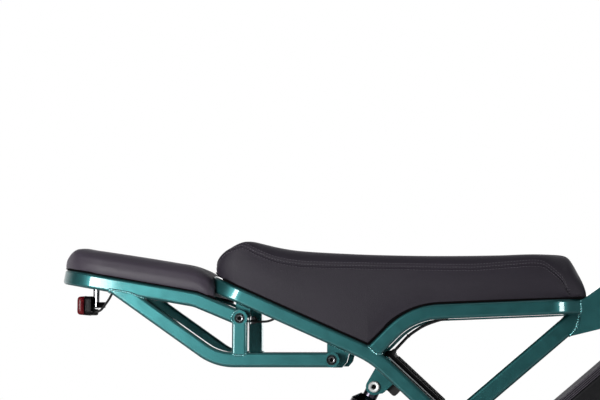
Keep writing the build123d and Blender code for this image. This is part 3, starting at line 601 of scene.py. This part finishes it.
# Rings that close on themselves, such as washers, bands and bushings
def turnedLoop(name, place, axis, profile, material, count=40, shape=None, slot=None):
    rings = turnedRings(place, axis, list(profile) + [profile[0]], count, shape)
    return sharpen(loft(name, rings, material, slot, closeEnds=False))


def hexagon(angle):
    return 1 / cos((angle + pi / 6) % (pi / 3) - pi / 6)


def socketShape(index, angle):
    return hexagon(angle) if index >= 4 else 1


# Socket head screw, seated at its place with the head along the axis. Its numbers are the head's radius and
# height, the socket's width and depth, and the chamfer
def socketScrew(name, place, axis, screw, material):
    radius, height, across, depth, rim = screw
    half, floor = across / 2, height - depth
    profile = [(0, radius), (height - rim, radius), (height, radius - rim), (height, half * 1.3)]
    profile += [(height - 0.0004, half), (floor, half), (floor - 0.001, half * 0.15)]
    return turned(name, place, axis, profile, material, 36, socketShape)


rackScrews = {
    "places": ((-0.4926, 0.3234), (-0.33966, 0.2546)),
    "seat": 0.0865,  # from the middle plane to the bottom of the counterbore
    "face": 0.0955,
    "back": 0.0605,
    "screw": (0.0065, 0.0078, 0.006, 0.004, 0.001),
    "washer": ((0, 0.007), (0.00096, 0.007), (0.0012, 0.00672)),
    # A near-black plug fills each screw's hex socket: painted shade in the recess
    "socket": ((0.0045, 0.0033), (0.0064, 0.0033), (0.0065, 0.003)),
    # A dark ring on each counterbore's lip: painted shade of the recess
    "rim": ((-0.0002, 0.00735), (0.0004, 0.0076), (0.0004, 0.0083), (-0.0002, 0.0089)),
    "nut": (
        (0, 0.0072), (0.0052, 0.0072), (0.0062, 0.0062), (0.0062, 0.004), (0.0095, 0.0038), (0.01, 0.0032)
    ),
}


def nutShape(index, angle):
    return hexagon(angle) * 0.9 if index < 3 else 1


def makeRackScrews():
    thickness = rackScrews["washer"][-1][0]
    for sideName, side in sides:
        out = (0, side, 0)
        for index, (x, z) in enumerate(rackScrews["places"]):
            end = f"{index}{sideName}"
            seatY, faceY, backY = (side * rackScrews[key] for key in ("seat", "face", "back"))
            headPlace = (x, seatY + side * thickness, z)
            turned(f"rackWasher{end}", (x, seatY, z), out, rackScrews["washer"], darkAlloy)
            socketScrew(f"rackScrew{end}", headPlace, out, rackScrews["screw"], darkSteel)
            # Near-black plug in the hex socket: painted shade
            turned(f"rackSocketShade{end}", headPlace, out, rackScrews["socket"], trimBlack, 18)
            # Dark ring at the counterbore's lip: painted shade
            turnedLoop(f"rackRimShade{end}", (x, faceY, z), out, rackScrews["rim"], darkAlloy)
            nut = rackScrews["nut"]
            turned(f"rackNut{end}", (x, backY, z), (0, -side, 0), nut, darkAlloy, 36, nutShape)


makeRackScrews()


# Shock absorber bolt with a socket in each head, each socket filled by a near-black plug as painted shade
shockPin = {
    "place": (-0.2743, 0.2086), "radius": 0.005, "grip": 0.023,
    "head": (0.0095, 0.006, 0.008, 0.0035, 0.0014),
    "socket": ((0.004, 0.0039), (0.0051, 0.0038), (0.0051, 0.001)),
}


def makeShockPin():
    x, z = shockPin["place"]
    shaft = [(0, shockPin["radius"]), (2 * shockPin["grip"], shockPin["radius"])]
    bolt = turned("shockPinShaft", (x, -shockPin["grip"], z), (0, 1, 0), shaft, screwSteel)
    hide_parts("shock_bolt")
    for sideName, side in sides:
        place, out = (x, side * shockPin["grip"], z), (0, side, 0)
        head = socketScrew(f"shockPinHead{sideName}", place, out, shockPin["head"], boltZinc)
        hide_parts("shock_bolt")
        # Near-black plug in the socket: painted shade
        turned(f"shockPinSocketShade{sideName}", place, out, shockPin["socket"], trimBlack, 18)


makeShockPin()
print("screws made")


# Welds: a rippled bead where the coped end of one tube meets another, in a much lighter teal that is painted
# highlight for the bead's glints
weld = {
    "radius": 0.0021, "ripple": 0.0045, "spacing": 0.0011, "sides": 6,
    "reach": 0.0005,  # the tubes touch where they are this near
    "grid": 20000,  # steps per metre at which the ends of edges are matched
    "shortest": 0.006, "swell": (0.62, 0.42), "end": 0.4,
}


@cache
def surfaceOf(name):
    data = nodes[name].data
    faces = [tuple(face.vertices) for face in data.polygons]
    return BVHTree.FromPolygons([vertex.co for vertex in data.vertices], faces)


def seamEdges(cut, whole):
    data = nodes[cut].data
    surface = surfaceOf(whole)

    def touches(point):
        return surface.find_nearest(point, weld["reach"])[0] is not None

    def key(point):
        return tuple(round(value * weld["grid"]) for value in point)

    touching = [touches(vertex.co) for vertex in data.vertices]
    edges = {}
    for face in data.polygons:
        contact = all(touching[index] for index in face.vertices) and touches(face.center)
        corners = list(face.vertices)
        for first, second in zip(corners, corners[1:] + corners[:1]):
            start, end = data.vertices[first].co, data.vertices[second].co
            ends = tuple(sorted((key(start), key(end))))
            entry = edges.setdefault(ends, {"kinds": set(), "points": {key(start): start, key(end): end}})
            entry["kinds"].add(contact)
    seams = [entry["points"] for entry in edges.values() if len(entry["kinds"]) == 2]
    return [points for points in seams if len(points) == 2]


# Lines of points along the edges, from one fork or end to the next
def chains(edges):
    links, places = {}, {}
    for points in edges:
        first, second = points
        places.update(points)
        links.setdefault(first, []).append(second)
        links.setdefault(second, []).append(first)
    size = {key: len(others) for key, others in links.items()}

    def follow(key):
        other = links[key].pop(0)
        links[other].remove(key)
        return other

    lines = []
    for start in sorted(key for key in links if size[key] != 2) + sorted(links):
        while links[start]:
            line = [start, follow(start)]
            while size[line[-1]] == 2 and line[-1] != start and links[line[-1]]:
                line.append(follow(line[-1]))
            lines.append([places[key] for key in line])
    return lines


def spaced(line, spacing):
    result = [line[0].copy()]
    carry = spacing
    for start, end in zip(line, line[1:]):
        run = (end - start).length
        reach = carry
        while reach <= run:
            result.append(start.lerp(end, reach / run))
            reach += spacing
        carry = reach - run
    return result


def beadMesh(lines):
    vertices, faces = [], []
    least, more = weld["swell"]
    for line in lines:
        points = spaced(line, weld["spacing"])
        if len(points) * weld["spacing"] < weld["shortest"]:
            continue
        rings = []
        side = None
        for index, point in enumerate(points):
            ahead = points[min(index + 1, len(points) - 1)] - points[max(index - 1, 0)]
            ahead.normalize()
            side = ahead.orthogonal() if side is None else side - ahead * side.dot(ahead)
            side.normalize()
            share = index * weld["spacing"] / weld["ripple"] % 1
            swell = weld["radius"] * (least + more * sin(pi * share))
            if index in (0, len(points) - 1):
                swell *= weld["end"]
            rings.append(ringAt(point, side, ahead.cross(side), swell, weld["sides"]))
        addSkin(vertices, faces, rings)
    return vertices, faces


def makeWeld(cut, whole):
    vertices, faces = beadMesh(chains(seamEdges(cut, whole)))
    if faces:
        meshObject(f"weld_{cut}_{whole}", vertices, faces, weldGlintPaint)
    return len(faces)


# The tube that is coped and the one that it meets. A star stands for the side's name
middleJoints = (
    "rack_rear_cross rack_hoop",
    "brace neck",
    "brace brace_cross_tube",
    "neck head_tube",
    "down_tube neck",
    "down_tube head_tube",
    "down_tube bottom_bracket_shell",
)
sideJoints = (
    "top_rail_* main_rail_*",
    "rack_lower_rail_* rack_top_rail_*",
    "rack_post_* rack_lower_rail_*",
    "rack_top_rail_* rack_post_*",
    "main_rail_* bottom_bracket_shell",
    "main_rail_* swingarm_pivot_tube",
    "top_rail_* neck",
    "rack_lower_rail_* rack_hoop",
    "shock_ear_* shock_cross_tube",
    "pivot_gusset_* bottom_bracket_shell",
    "pivot_gusset_* swingarm_pivot_tube",
    "brace_cross_tube main_rail_*",
    "shock_cross_tube main_rail_*",
    "rack_front_cross rack_top_rail_*",
)


def makeWelds():
    joints = list(middleJoints)
    for sideName, side in sides:
        joints += [joint.replace("*", sideName) for joint in sideJoints]
    for joint in joints:
        if not makeWeld(*joint.split()):
            print("no seam at", joint)


makeWelds()
print("welds made")


# Stitches along the seam between the seat's top and its sides, and a third row above them
stitching = {
    "rows": (-0.0026, 0.0026, 0.0075), "span": (-0.524, 0.074), "pitch": 0.005, "length": 0.0036,
    "radius": 0.00055,
    "shape": ((0.0, 0.35), (0.12, 0.85), (0.5, 1.0), (0.88, 0.85), (1.0, 0.35)),
    "sides": 6, "endGap": 0.003,
    "room": (0.002, 0.0045),  # least height over the underside and under the top
    "sink": 0.0003,
    "highest": 0.9,  # share of the top's rounding
}


# Half width and height of the seat's side at X, a lift over the seam, or nothing where no stitch goes
def seatSide(x, lift):
    low, seam, top, half = seatMeasures(x)
    height = seam + lift
    below, above = stitching["room"]
    if x > seamEnd - stitching["endGap"] or height < low + below or height > top - above:
        return None
    if lift < seat["seamStart"]:
        return half - stitching["sink"], height
    drop = top - seam
    share = (lift - seat["seamStart"]) / (drop - seat["seamStart"] - seat["crown"])
    if share > stitching["highest"]:
        return None
    radius = min(drop - seat["crown"], half / 2)
    return half - seat["inset"] - radius * seat["roundness"] * (1 - sqrt(1 - share**2)), height


def addStitch(vertices, faces, start, end):
    ahead = (end - start).normalized()
    side = ahead.orthogonal().normalized()
    rings = []
    for share, size in stitching["shape"]:
        radius = stitching["radius"] * size
        rings.append(ringAt(start.lerp(end, share), side, ahead.cross(side), radius, stitching["sides"]))
    addSkin(vertices, faces, rings)


def makeStitches():
    vertices, faces = [], []
    rows = [(side, lift) for sideName, side in sides for lift in stitching["rows"]]
    for side, lift in rows:
        x, last = stitching["span"]
        while x < last:
            places = (x, x + stitching["length"])
            ends = [(place, seatSide(place, lift)) for place in places]
            if None in (ends[0][1], ends[1][1]):
                x += stitching["pitch"]
                continue
            start, end = (Vector((place, side * spot[0], spot[1])) for place, spot in ends)
            slope = (end - start).length / stitching["length"]
            addStitch(vertices, faces, start, start.lerp(end, min(1 / slope, 1)))
            x += stitching["pitch"] / slope
    meshObject("seatStitches", vertices, faces, thread)


makeStitches()


# Round welts at the lower edges of both cushions, in near-black trim: real seam cords, and painted shade
# along the gap under each cushion
welts = {"radius": 0.0009, "inset": 0.003, "drop": 0.0002, "ends": 0.002, "steps": 120}
weltLines = (("seatShadeWelt", seatTop, seatWidth, seatBottom), ("padShadeWelt", padTop, padWidth, padBottom))


def makeWelts():
    for sideName, side in sides:
        for name, table, width, bottom in weltLines:
            first, last = table[0][0] + welts["ends"], table[-1][0] - welts["ends"]
            points = []
            for step in range(welts["steps"] + 1):
                x = first + (last - first) * step / welts["steps"]
                reach = between(width, x) - welts["inset"]
                points.append((x, side * reach, bottom(x) - skirt - welts["drop"]))
            # Near-black cord: partly a seam welt, partly painted shade
            sweep(f"{name}{sideName}", points, welts["radius"], trimBlack)


makeWelts()
print("seams made")


# Outline of a box with round corners
def roundedBox(width, height, radius):
    points = []
    for quarter, (signX, signY) in enumerate(((1, 1), (-1, 1), (-1, -1), (1, -1))):
        centreX, centreY = signX * (width / 2 - radius), signY * (height / 2 - radius)
        for step in range(6):
            angle = pi / 2 * (quarter + step / 5)
            points.append((centreX + radius * cos(angle), centreY + radius * sin(angle)))
    return points


# Bands round the lamp, as rounded outlines at places along the bike
lamp = {
    "height": 0.347, "width": 0.046, "tall": 0.031, "corner": 0.006, "bezel": (-0.7733, -0.7719),
    "lens": (-0.7862, -0.7728),
    "flange": {"x": (-0.7605, -0.7552), "z": (0.3445, 0.3795), "y": 0.01, "thickness": 0.0012},
    "ribs": (-0.7701, -0.7678, -0.7655, -0.7632), "ribWidth": 0.0013, "back": -0.7605,
    "screws": {"Lowerright": (-0.018, 0.3365), "Upperleft": (0.018, 0.3575), "Lowerleft": (0.018, 0.3365)},
    "screw": (0.0021, 0.0014, 0.0018, 0.0009, 0.0004),
    "clamp": ((-0.01, 0.0101), (-0.01, 0.0116), (0.01, 0.0116), (0.01, 0.0101)),
    "clampPlace": (-0.7505, 0, 0.3865),
    "button": ((0, 0.0042), (0.0008, 0.0042), (0.0014, 0.0034), (0.0016, 0.001)),
    "buttonPlace": (-0.743, 0, 0.3485),
}


def lampBand(profile):
    rings = []
    for x, proud in profile + profile[:1]:
        outline = roundedBox(lamp["width"] + 2 * proud, lamp["tall"] + 2 * proud, lamp["corner"] + proud)
        rings.append([Vector((x, across, lamp["height"] + up)) for across, up in outline])
    return rings


def makeLamp():
    first, last = lamp["bezel"]
    bezel = [(first, -0.0012), (first, 0.0004), (first + 0.0006, 0.001), (last, 0.001), (last, -0.0002)]
    sharpen(loft("lampBezel", lampBand(bezel), trimBlack, closeEnds=False))
    for index, x in enumerate(lamp["ribs"]):
        end = x + lamp["ribWidth"]
        rib = [(x, -0.0003), (x + 0.0001, 0.0006), (end - 0.0001, 0.0006), (end, -0.0003)]
        sharpen(loft(f"lampRib{index}", lampBand(rib), blackPlastic, closeEnds=False))
    start, end = lamp["lens"]
    lens = [(start, -0.006), (start + 0.0003, -0.0042), (start + 0.0012, -0.002), (start + 0.0026, -0.0006)]
    lens += [(start + 0.0045, 0.0002), (end, 0.0007), (end, -0.0002)]
    piece = loft("lampLens", lampBand(lens)[:-1], redLens)
    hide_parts("lamp_lens")
    flange = lamp["flange"]
    (low, high), (bottom, top) = flange["x"], flange["z"]
    for sideName, side in sides:
        y, thick = side * flange["y"], side * flange["thickness"]
        rings = []
        for z, inset in ((bottom, 0.0012), (bottom + 0.0012, 0), (top, 0)):
            corners = ((low, y), (low, y - thick), (high - inset, y - thick), (high - inset, y))
            rings.append([Vector((x, across, z)) for x, across in corners])
        sharpen(loft(f"lampFlange{sideName}", rings, brightSteel))
    for name, (y, z) in lamp["screws"].items():
        socketScrew(f"lampScrew{name}", (lamp["back"], y, z), (1, 0, 0), lamp["screw"], darkSteel)
    turnedLoop("lampBand", lamp["clampPlace"], (0, 1, 0), lamp["clamp"], brightSteel)
    turned("lampButton", lamp["buttonPlace"], (1, 0, 0), lamp["button"], screwSteel)


makeLamp()
print("lamp made")


# Sleeves where the cables go in and out, and ties that hold the loom to its tube
sleeves = (
    ("lampSleeve", (-0.7605, -0.012, 0.336), (1, 0, 0), 0.0017, 0.004),
    ("rackSleeveRear", (-0.712, -0.0705, 0.374), (0, 1, 0), 0.002, 0.0035),
    ("rackSleeveFront", (-0.522, -0.0705, 0.338), (0, 1, 0), 0.002, 0.0035),
    ("railSleeve", (-0.43, -0.0705, 0.329), (0, 1, 0), 0.002, 0.0035),
    ("caseSleeve", (-0.2422, -0.06, 0.2651), (0.682, 0, 0.731), 0.0025, 0.0085),
    ("neckSleeve", (0.0717, -0.024, 0.341), (-1, 0, 0), 0.0025, 0.0045),
)
ties = (
    ((-0.2145, -0.062, 0.2945), (0.7, -0.06, 0.62)),
    ((-0.152, -0.0662, 0.3233), (0.96, -0.03, 0.24)),
    ((-0.072, -0.0674, 0.3366), (0.99, 0, 0.08)),
    ((0.006, -0.0637, 0.3389), (0.96, 0.22, 0.05)),
)
sleeveShape = ((0.25, 2.2), (0.32, 1.9), (0.9, 1.35), (1.0, 1.05))
tieBand = ((-0.0012, 0.0024), (-0.0012, 0.0033), (0.0012, 0.0033), (0.0012, 0.0024))


def makeSleeves():
    for name, place, axis, radius, length in sleeves:
        profile = [(-0.0004, radius * 2.2)]
        profile += [(length * along, radius * size) for along, size in sleeveShape]
        turned(name, place, axis, profile, rubber, 24)
    for index, (place, axis) in enumerate(ties):
        turnedLoop(f"loomTie{index}", place, axis, tieBand, blackPlastic, 20)


makeSleeves()


# Shock absorber: notched collar, bushings in the lower eye and an adjuster
shock = {
    "top": (-0.2743, 0.2086), "lean": radians(28.0), "length": 0.19, "collar": (0.04, 0.048),
    "radius": 0.02775, "bore": 0.015, "chamfer": 0.0012,
    "bush": ((0, 0.0053), (0, 0.0098), (0.0008, 0.0098), (0.0014, 0.009), (0.0014, 0.0053)),
    "bushSeat": 0.0145,
    "line": ((-0.0005, 0.0262), (-0.0005, 0.027), (0.0005, 0.027), (0.0005, 0.0262)),
    "lines": (0.0345, 0.0375),
    "knob": ((0, 0.0052), (0.004, 0.0052), (0.005, 0.0044), (0.0052, 0.001)),
    "knobPlace": (0.17, -0.0118),
}
shockAxis = (-sin(shock["lean"]), 0, -cos(shock["lean"]))


def shockPlace(reach, y=0.0):
    return (shock["top"][0] + shockAxis[0] * reach, y, shock["top"][1] + shockAxis[2] * reach)


# Twelve notches round the collar
def notches(index, angle):
    within = abs(angle % (pi / 6) - pi / 12)
    return 0.935 if within < 0.09 and 1 <= index <= 4 else 1


def knurl(index, angle):
    return 1 + (0.05 * cos(18 * angle) if index < 3 else 0)


def makeShock():
    start, end = shock["collar"]
    radius, bore, rim = shock["radius"], shock["bore"], shock["chamfer"]
    profile = [(start, bore), (start, radius - rim), (start + rim, radius)]
    profile += [(end - rim, radius), (end, radius - rim), (end, bore)]
    place = shockPlace(0)
    collar = turnedLoop("shockCollar", place, shockAxis, profile, blackEnamel, 144, notches, "dark_alloy")
    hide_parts("shock_collar")
    for sideName, side in sides:
        place = shockPlace(shock["length"], side * shock["bushSeat"])
        turnedLoop(f"shockBush{sideName}", place, (0, side, 0), shock["bush"], screwSteel)
    for index, reach in enumerate(shock["lines"]):
        place = shockPlace(reach)
        turnedLoop(f"shockHeadLine{index}", place, shockAxis, shock["line"], screwSteel, 64)
    place = shockPlace(*shock["knobPlace"])
    turned("shockKnob", place, (0, -1, 0), shock["knob"], darkSteel, 72, knurl)


makeShock()
print("shock absorber made")


# Place on a sloping box: along its length, over its underside and across the bike
def boxPlace(box, reach, height, y):
    slope, along = box["slope"], reach * box["way"]
    x = box["foot"][0] + along * cos(slope) - height * sin(slope)
    z = box["foot"][1] + along * sin(slope) + height * cos(slope)
    return Vector((x, y, z))


def boxUp(box):
    return (-sin(box["slope"]), 0, cos(box["slope"]))


def boxLine(box, first, last, height, y, steps):
    return [boxPlace(box, first + (last - first) * step / steps, height, y) for step in range(steps + 1)]


# Controller case: cooling fins, lid screws, a seal line and near-white cords along its long sides as painted
# highlight, on the lower rails' slope
case = {
    "foot": (0.00451, 0.00484), "slope": radians(-43.0), "way": -1, "span": (0.225, 0.367),
    "top": 0.022, "half": 0.07, "corner": 0.006,
    "fin": {"count": 9, "pitch": 0.0115, "span": (0.239, 0.349), "half": 0.002, "height": 0.0016},
    "finChamfer": 0.0006,
    "sink": 0.0004,  # how deep the fins' feet stand in the lid
    "screw": (0.0029, 0.0018, 0.0026, 0.0012, 0.0005),
    "screws": ((0.233, -0.06), (0.233, 0), (0.233, 0.06), (0.358, -0.02), (0.358, 0.02), (0.358, 0.06)),
    # The near-white cords by the rails: a painted highlight line
    "glintCord": {"span": (0.235, 0.357), "height": 0.0142, "y": 0.0702, "radius": 0.0011},
    "seal": {"height": 0.0178, "radius": 0.0005},
}


def finRings(y):
    fin = case["fin"]
    (first, last), tall, rim = fin["span"], fin["height"], case["finChamfer"]
    rings = []
    for reach, inset in ((first, rim), (first + rim, 0), (last - rim, 0), (last, rim)):
        half, top = fin["half"] - inset, tall - inset
        right = [(half - rim, top), (half, top - rim), (half, -case["sink"])]
        outline = [(-across, up) for across, up in reversed(right)] + right
        rings.append([boxPlace(case, reach, case["top"] + up, y + across) for across, up in outline])
    return rings


def makeCase():
    fin, glintCord, seal = case["fin"], case["glintCord"], case["seal"]
    for index in range(fin["count"]):
        y = (index - (fin["count"] - 1) / 2) * fin["pitch"]
        sharpen(loft(f"caseFin{index}", finRings(y), casePlastic))
    for index, (reach, y) in enumerate(case["screws"]):
        place = boxPlace(case, reach, case["top"] - 0.0002, y)
        socketScrew(f"caseScrew{index}", place, boxUp(case), case["screw"], darkSteel)
    # Near-white cord along each side of the case: painted highlight
    for sideName, side in sides:
        points = boxLine(case, *glintCord["span"], glintCord["height"], side * glintCord["y"], 12)
        sweep(f"caseHighlightCord{sideName}", points, glintCord["radius"], highlightCord)
    first, last = case["span"]
    outline = roundedBox(last - first, 2 * case["half"], case["corner"])
    middle = (first + last) / 2
    points = [boxPlace(case, middle + reach, seal["height"], across) for reach, across in outline]
    sweep("caseSeal", points + points[:1], seal["radius"], trimBlack)


makeCase()
print("controller case made")


# Battery: lines along the rim, joints at the end caps, cap screws, lock with a near-black cord as the key
# slot's painted shade, charging port and button
battery = {
    "foot": (0, 0), "slope": radians(40.4), "way": 1, "case": (0.044, 0.282), "bottom": 0.0325,
    "top": 0.119, "half": 0.042, "corner": 0.006, "lines": (0.1098, 0.1128, 0.1158),
    "screw": (0.003, 0.0012, 0.0026, 0.001, 0.0004),
    "screws": ((0.035, 0.05), (0.035, 0.1), (0.291, 0.05), (0.291, 0.1)),
    "lock": (
        (0, 0.0105), (0.0016, 0.0105), (0.0024, 0.0096), (0.0024, 0.0068), (0.0018, 0.0064), (0.0022, 0.0012)
    ),
    "lockPlace": (0.25, 0.06),
    "slot": 0.0036,  # half the length of the key slot
    "port": ((0, 0.0125), (0.0018, 0.0125), (0.003, 0.0112), (0.0034, 0.008), (0.0035, 0.001)),
    "portPlace": (0.072, 0.062),
    "button": (
        (0, 0.0075), (0.0012, 0.0075), (0.002, 0.0066), (0.002, 0.0056), (0.0012, 0.0052), (0.0013, 0.001)
    ),
    "buttonReach": 0.262, "sink": 0.0002,
}


def makeBattery():
    first, last = battery["case"]
    half, bottom, top, sink = (battery[key] for key in ("half", "bottom", "top", "sink"))
    for sideName, side in sides:
        for index, height in enumerate(battery["lines"]):
            points = boxLine(battery, first + 0.002, last - 0.002, height, side * half, 8)
            sweep(f"batteryLine{index}{sideName}", points, 0.0005, trimBlack)
    for name, reach in (("Lower", first), ("Upper", last)):
        outline = roundedBox(top - bottom, 2 * half, battery["corner"])
        points = [boxPlace(battery, reach, (top + bottom) / 2 + up, across) for up, across in outline]
        sweep(f"batteryJoint{name}", points + points[:1], 0.0006, trimBlack)
    for sideName, side in sides:
        for index, (reach, height) in enumerate(battery["screws"]):
            place = boxPlace(battery, reach, height, side * (half - sink))
            name = f"batteryScrew{index}{sideName}"
            socketScrew(name, place, (0, side, 0), battery["screw"], darkSteel)
    reach, height = battery["lockPlace"]
    place = boxPlace(battery, reach, height, half - sink)
    turned("batteryLock", place, (0, 1, 0), battery["lock"], screwSteel, 48)
    # Near-black cord on the lock face: painted shade of the key slot
    slot = boxLine(battery, reach - battery["slot"], reach + battery["slot"], height, half + 0.0024, 1)
    sweep("batteryKeySlotShade", slot, 0.0007, trimBlack)
    place = boxPlace(battery, *battery["portPlace"], sink - half)
    turned("chargePort", place, (0, -1, 0), battery["port"], rubber, 40)
    place = boxPlace(battery, battery["buttonReach"], top - sink, 0)
    turned("batteryButton", place, boxUp(battery), battery["button"], blackPlastic, 40)


makeBattery()
print("battery made")


# Machined rings at the head tube, the bottom bracket and the swingarm pivot, and the bracket's thread
headTube = {
    "centre": (0.258, 0, 0.396), "angle": radians(67.0), "half": 0.068,
    "ring": (
        (-0.003, 0.02195), (-0.003, 0.0216), (0.0004, 0.0216),
        (0.0006, 0.0222), (0.0006, 0.0262), (0.0001, 0.0268),
    ),
}
shell = {
    "half": 0.05,
    "face": ((-0.0005, 0.0172), (0.0002, 0.0172), (0.0004, 0.0178), (0.0004, 0.0212), (-0.0005, 0.0216)),
    "threadDepth": 0.018, "pitch": 0.00106, "radius": 0.0169,
}
pivotBush = (
    (-0.006, 0.0096), (0.0012, 0.0096), (0.0016, 0.0102), (0.0016, 0.0146),
    (0.001, 0.0152), (-0.0004, 0.0152), (-0.0004, 0.0099), (-0.006, 0.0099),
)


def makeMachinedRings():
    upward = Vector((-cos(headTube["angle"]), 0, sin(headTube["angle"])))
    for name, side in (("Upper", 1), ("Lower", -1)):
        place = Vector(headTube["centre"]) + upward * (side * headTube["half"])
        turnedLoop(f"headRing{name}", place, upward * side, headTube["ring"], screwSteel, 64)
    low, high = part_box("swingarm_pivot_tube")
    pivotX, pivotZ = (low.x + high.x) / 2, (low.z + high.z) / 2
    radius, pitch, depth = shell["radius"], shell["pitch"], shell["threadDepth"]
    thread = [(0, radius + 0.0001)]
    for turn in range(int(depth / pitch)):
        thread += [(-turn * pitch - 0.0002, radius), (-turn * pitch - 0.00053, radius - 0.0006)]
    thread.append((-depth, radius + 0.0001))
    for sideName, side in sides:
        end = (0, side * shell["half"], 0)
        for name, place, profile in (
            ("shellFace", end, shell["face"]),
            ("pivotBush", (pivotX, side * high.y, pivotZ), pivotBush),
            ("shellThread", end, thread),
        ):
            turnedLoop(f"{name}{sideName}", place, (0, side, 0), profile, screwSteel, 48)


makeMachinedRings()


# Beads that hold the rack's lugs to the underside of the main rails
lugSeams = ((-0.5026, -0.4786), (-0.3496, -0.3107))
lugSides = (0.0602, 0.0703)
beadDepth = 0.0125 + 0.0004 * cos(railSlope)  # from the rail's middle line to the bead's


def makeLugWelds():
    for sideName, side in sides:
        lines = []
        for first, last in lugSeams:
            for y in lugSides:
                line = []
                for x in (first, (first + last) / 2, last):
                    line.append(Vector((x, side * y, lineHeight(x, railBend, railSlope, -beadDepth))))
                lines.append(line)
        # The lug beads take the lighter weld teal too, as painted highlight
        meshObject(f"lugWelds{sideName}", *beadMesh(lines), weldGlintPaint)


makeLugWelds()
print("small parts made")


# Light: a bright box at the left, a strip at the right, a soft one overhead and a dim room
def areaLight(name, place, aim, size, power):
    data = bpy.data.lights.new(name, "AREA")
    data.shape = "RECTANGLE"
    data.size, data.size_y = size
    data.energy = power
    light = addObject(name, data)
    light.location = place
    light.rotation_euler = (Vector(aim) - Vector(place)).to_track_quat("-Z", "Y").to_euler()
    return light


leftBox = areaLight("leftBox", (-1.88, -2.3, 0.5), (-1.0, 0, 0.38), (1.14, 0.75), 59)
areaLight("rightStrip", (2.3, -1.6, 0.5), (0.0, 0, 0.35), (0.8, 0.4), 18)
areaLight("overhead", (-0.6, -0.6, 2.4), (-0.3, 0, 0.3), (2.4, 1.4), 4)
backFill = areaLight("backFill", (-0.3, 2.4, 0.5), (-0.3, 0, 0.25), (2.2, 0.9), 4)
backRight = areaLight("backRight", (2.1, 2.1, 0.6), (0.0, 0, 0.3), (0.9, 0.9), 22)
for behind in (backFill, backRight):
    behind.visible_camera = False


# The far side of the rack and frame stays out of the left box's light
def shadeFarSide():
    shaded = bpy.data.collections.new("shaded")
    for name, node in nodes.items():
        if name.endswith("_left") and name.startswith(("rack_", "top_rail", "main_rail")):
            shaded.objects.link(node)
    leftBox.light_linking.receiver_collection = shaded
    for entry in shaded.collection_objects:
        entry.light_linking.link_state = "EXCLUDE"


shadeFarSide()


# White for the camera, and in reflections a white backdrop behind the bike and a dim room in front
def makeWorld():
    world = bpy.data.worlds.new("room")
    world.use_nodes = True
    tree = world.node_tree
    room = tree.nodes["Background"]
    axes = addNode(tree, "ShaderNodeSeparateXYZ")
    wire(addNode(tree, "ShaderNodeTexCoord").outputs["Generated"], axes.inputs[0])
    shade = mixColour(span(axes.outputs["Z"], -0.1, 0.9), (0.1, 0.105, 0.112), (0.085, 0.09, 0.097))
    behind = addNode(tree, "ShaderNodeMath", operation="MULTIPLY")
    wire(span(axes.outputs["Y"], 0.05, 0.45), behind.inputs[0])
    wire(span(axes.outputs["Z"], 0.15, 0.5, 1.0, 0.12), behind.inputs[1])
    wire(mixColour(behind.outputs[0], shade, (0.9, 0.9, 0.9)), room.inputs["Color"])
    room.inputs["Strength"].default_value = 1.0
    path = addNode(tree, "ShaderNodeLightPath")
    seen = addNode(tree, "ShaderNodeMath", operation="MAXIMUM")
    wire(path.outputs["Is Camera Ray"], seen.inputs[0])
    wire(path.outputs["Is Transmission Ray"], seen.inputs[1])
    white = addNode(tree, "ShaderNodeBackground", Color=(1, 1, 1, 1), Strength=1.0)
    mixer = addNode(tree, "ShaderNodeMixShader")
    for index, source in enumerate((seen.outputs[0], room.outputs[0], white.outputs[0])):
        wire(source, mixer.inputs[index])
    wire(mixer.outputs[0], tree.nodes["World Output"].inputs["Surface"])
    bpy.context.scene.world = world


makeWorld()


floorSize, floorDrop = 2.6, 0.12


def makeFloor():
    lowest = cadBox[0].z - floorDrop
    material, point, inputs = newMaterial("floorPaper")
    grey = patches(point, 2, 3, 0.78, 0.8)
    combine = addNode(grey.id_data, "ShaderNodeCombineColor")
    for channel in ("Red", "Green", "Blue"):
        wire(grey, combine.inputs[channel])
    wire(combine.outputs["Color"], inputs["Base Color"])
    setInputs(inputs, {"Roughness": 0.9})
    corners = ((-1, -1), (1, -1), (1, 1), (-1, 1))
    data = bpy.data.meshes.new("floor")
    data.from_pydata([(x * floorSize, y * floorSize, lowest) for x, y in corners], [], [(0, 1, 2, 3)])
    data.materials.append(material)
    addObject("floor", data)


makeFloor()
print("light and floor made")
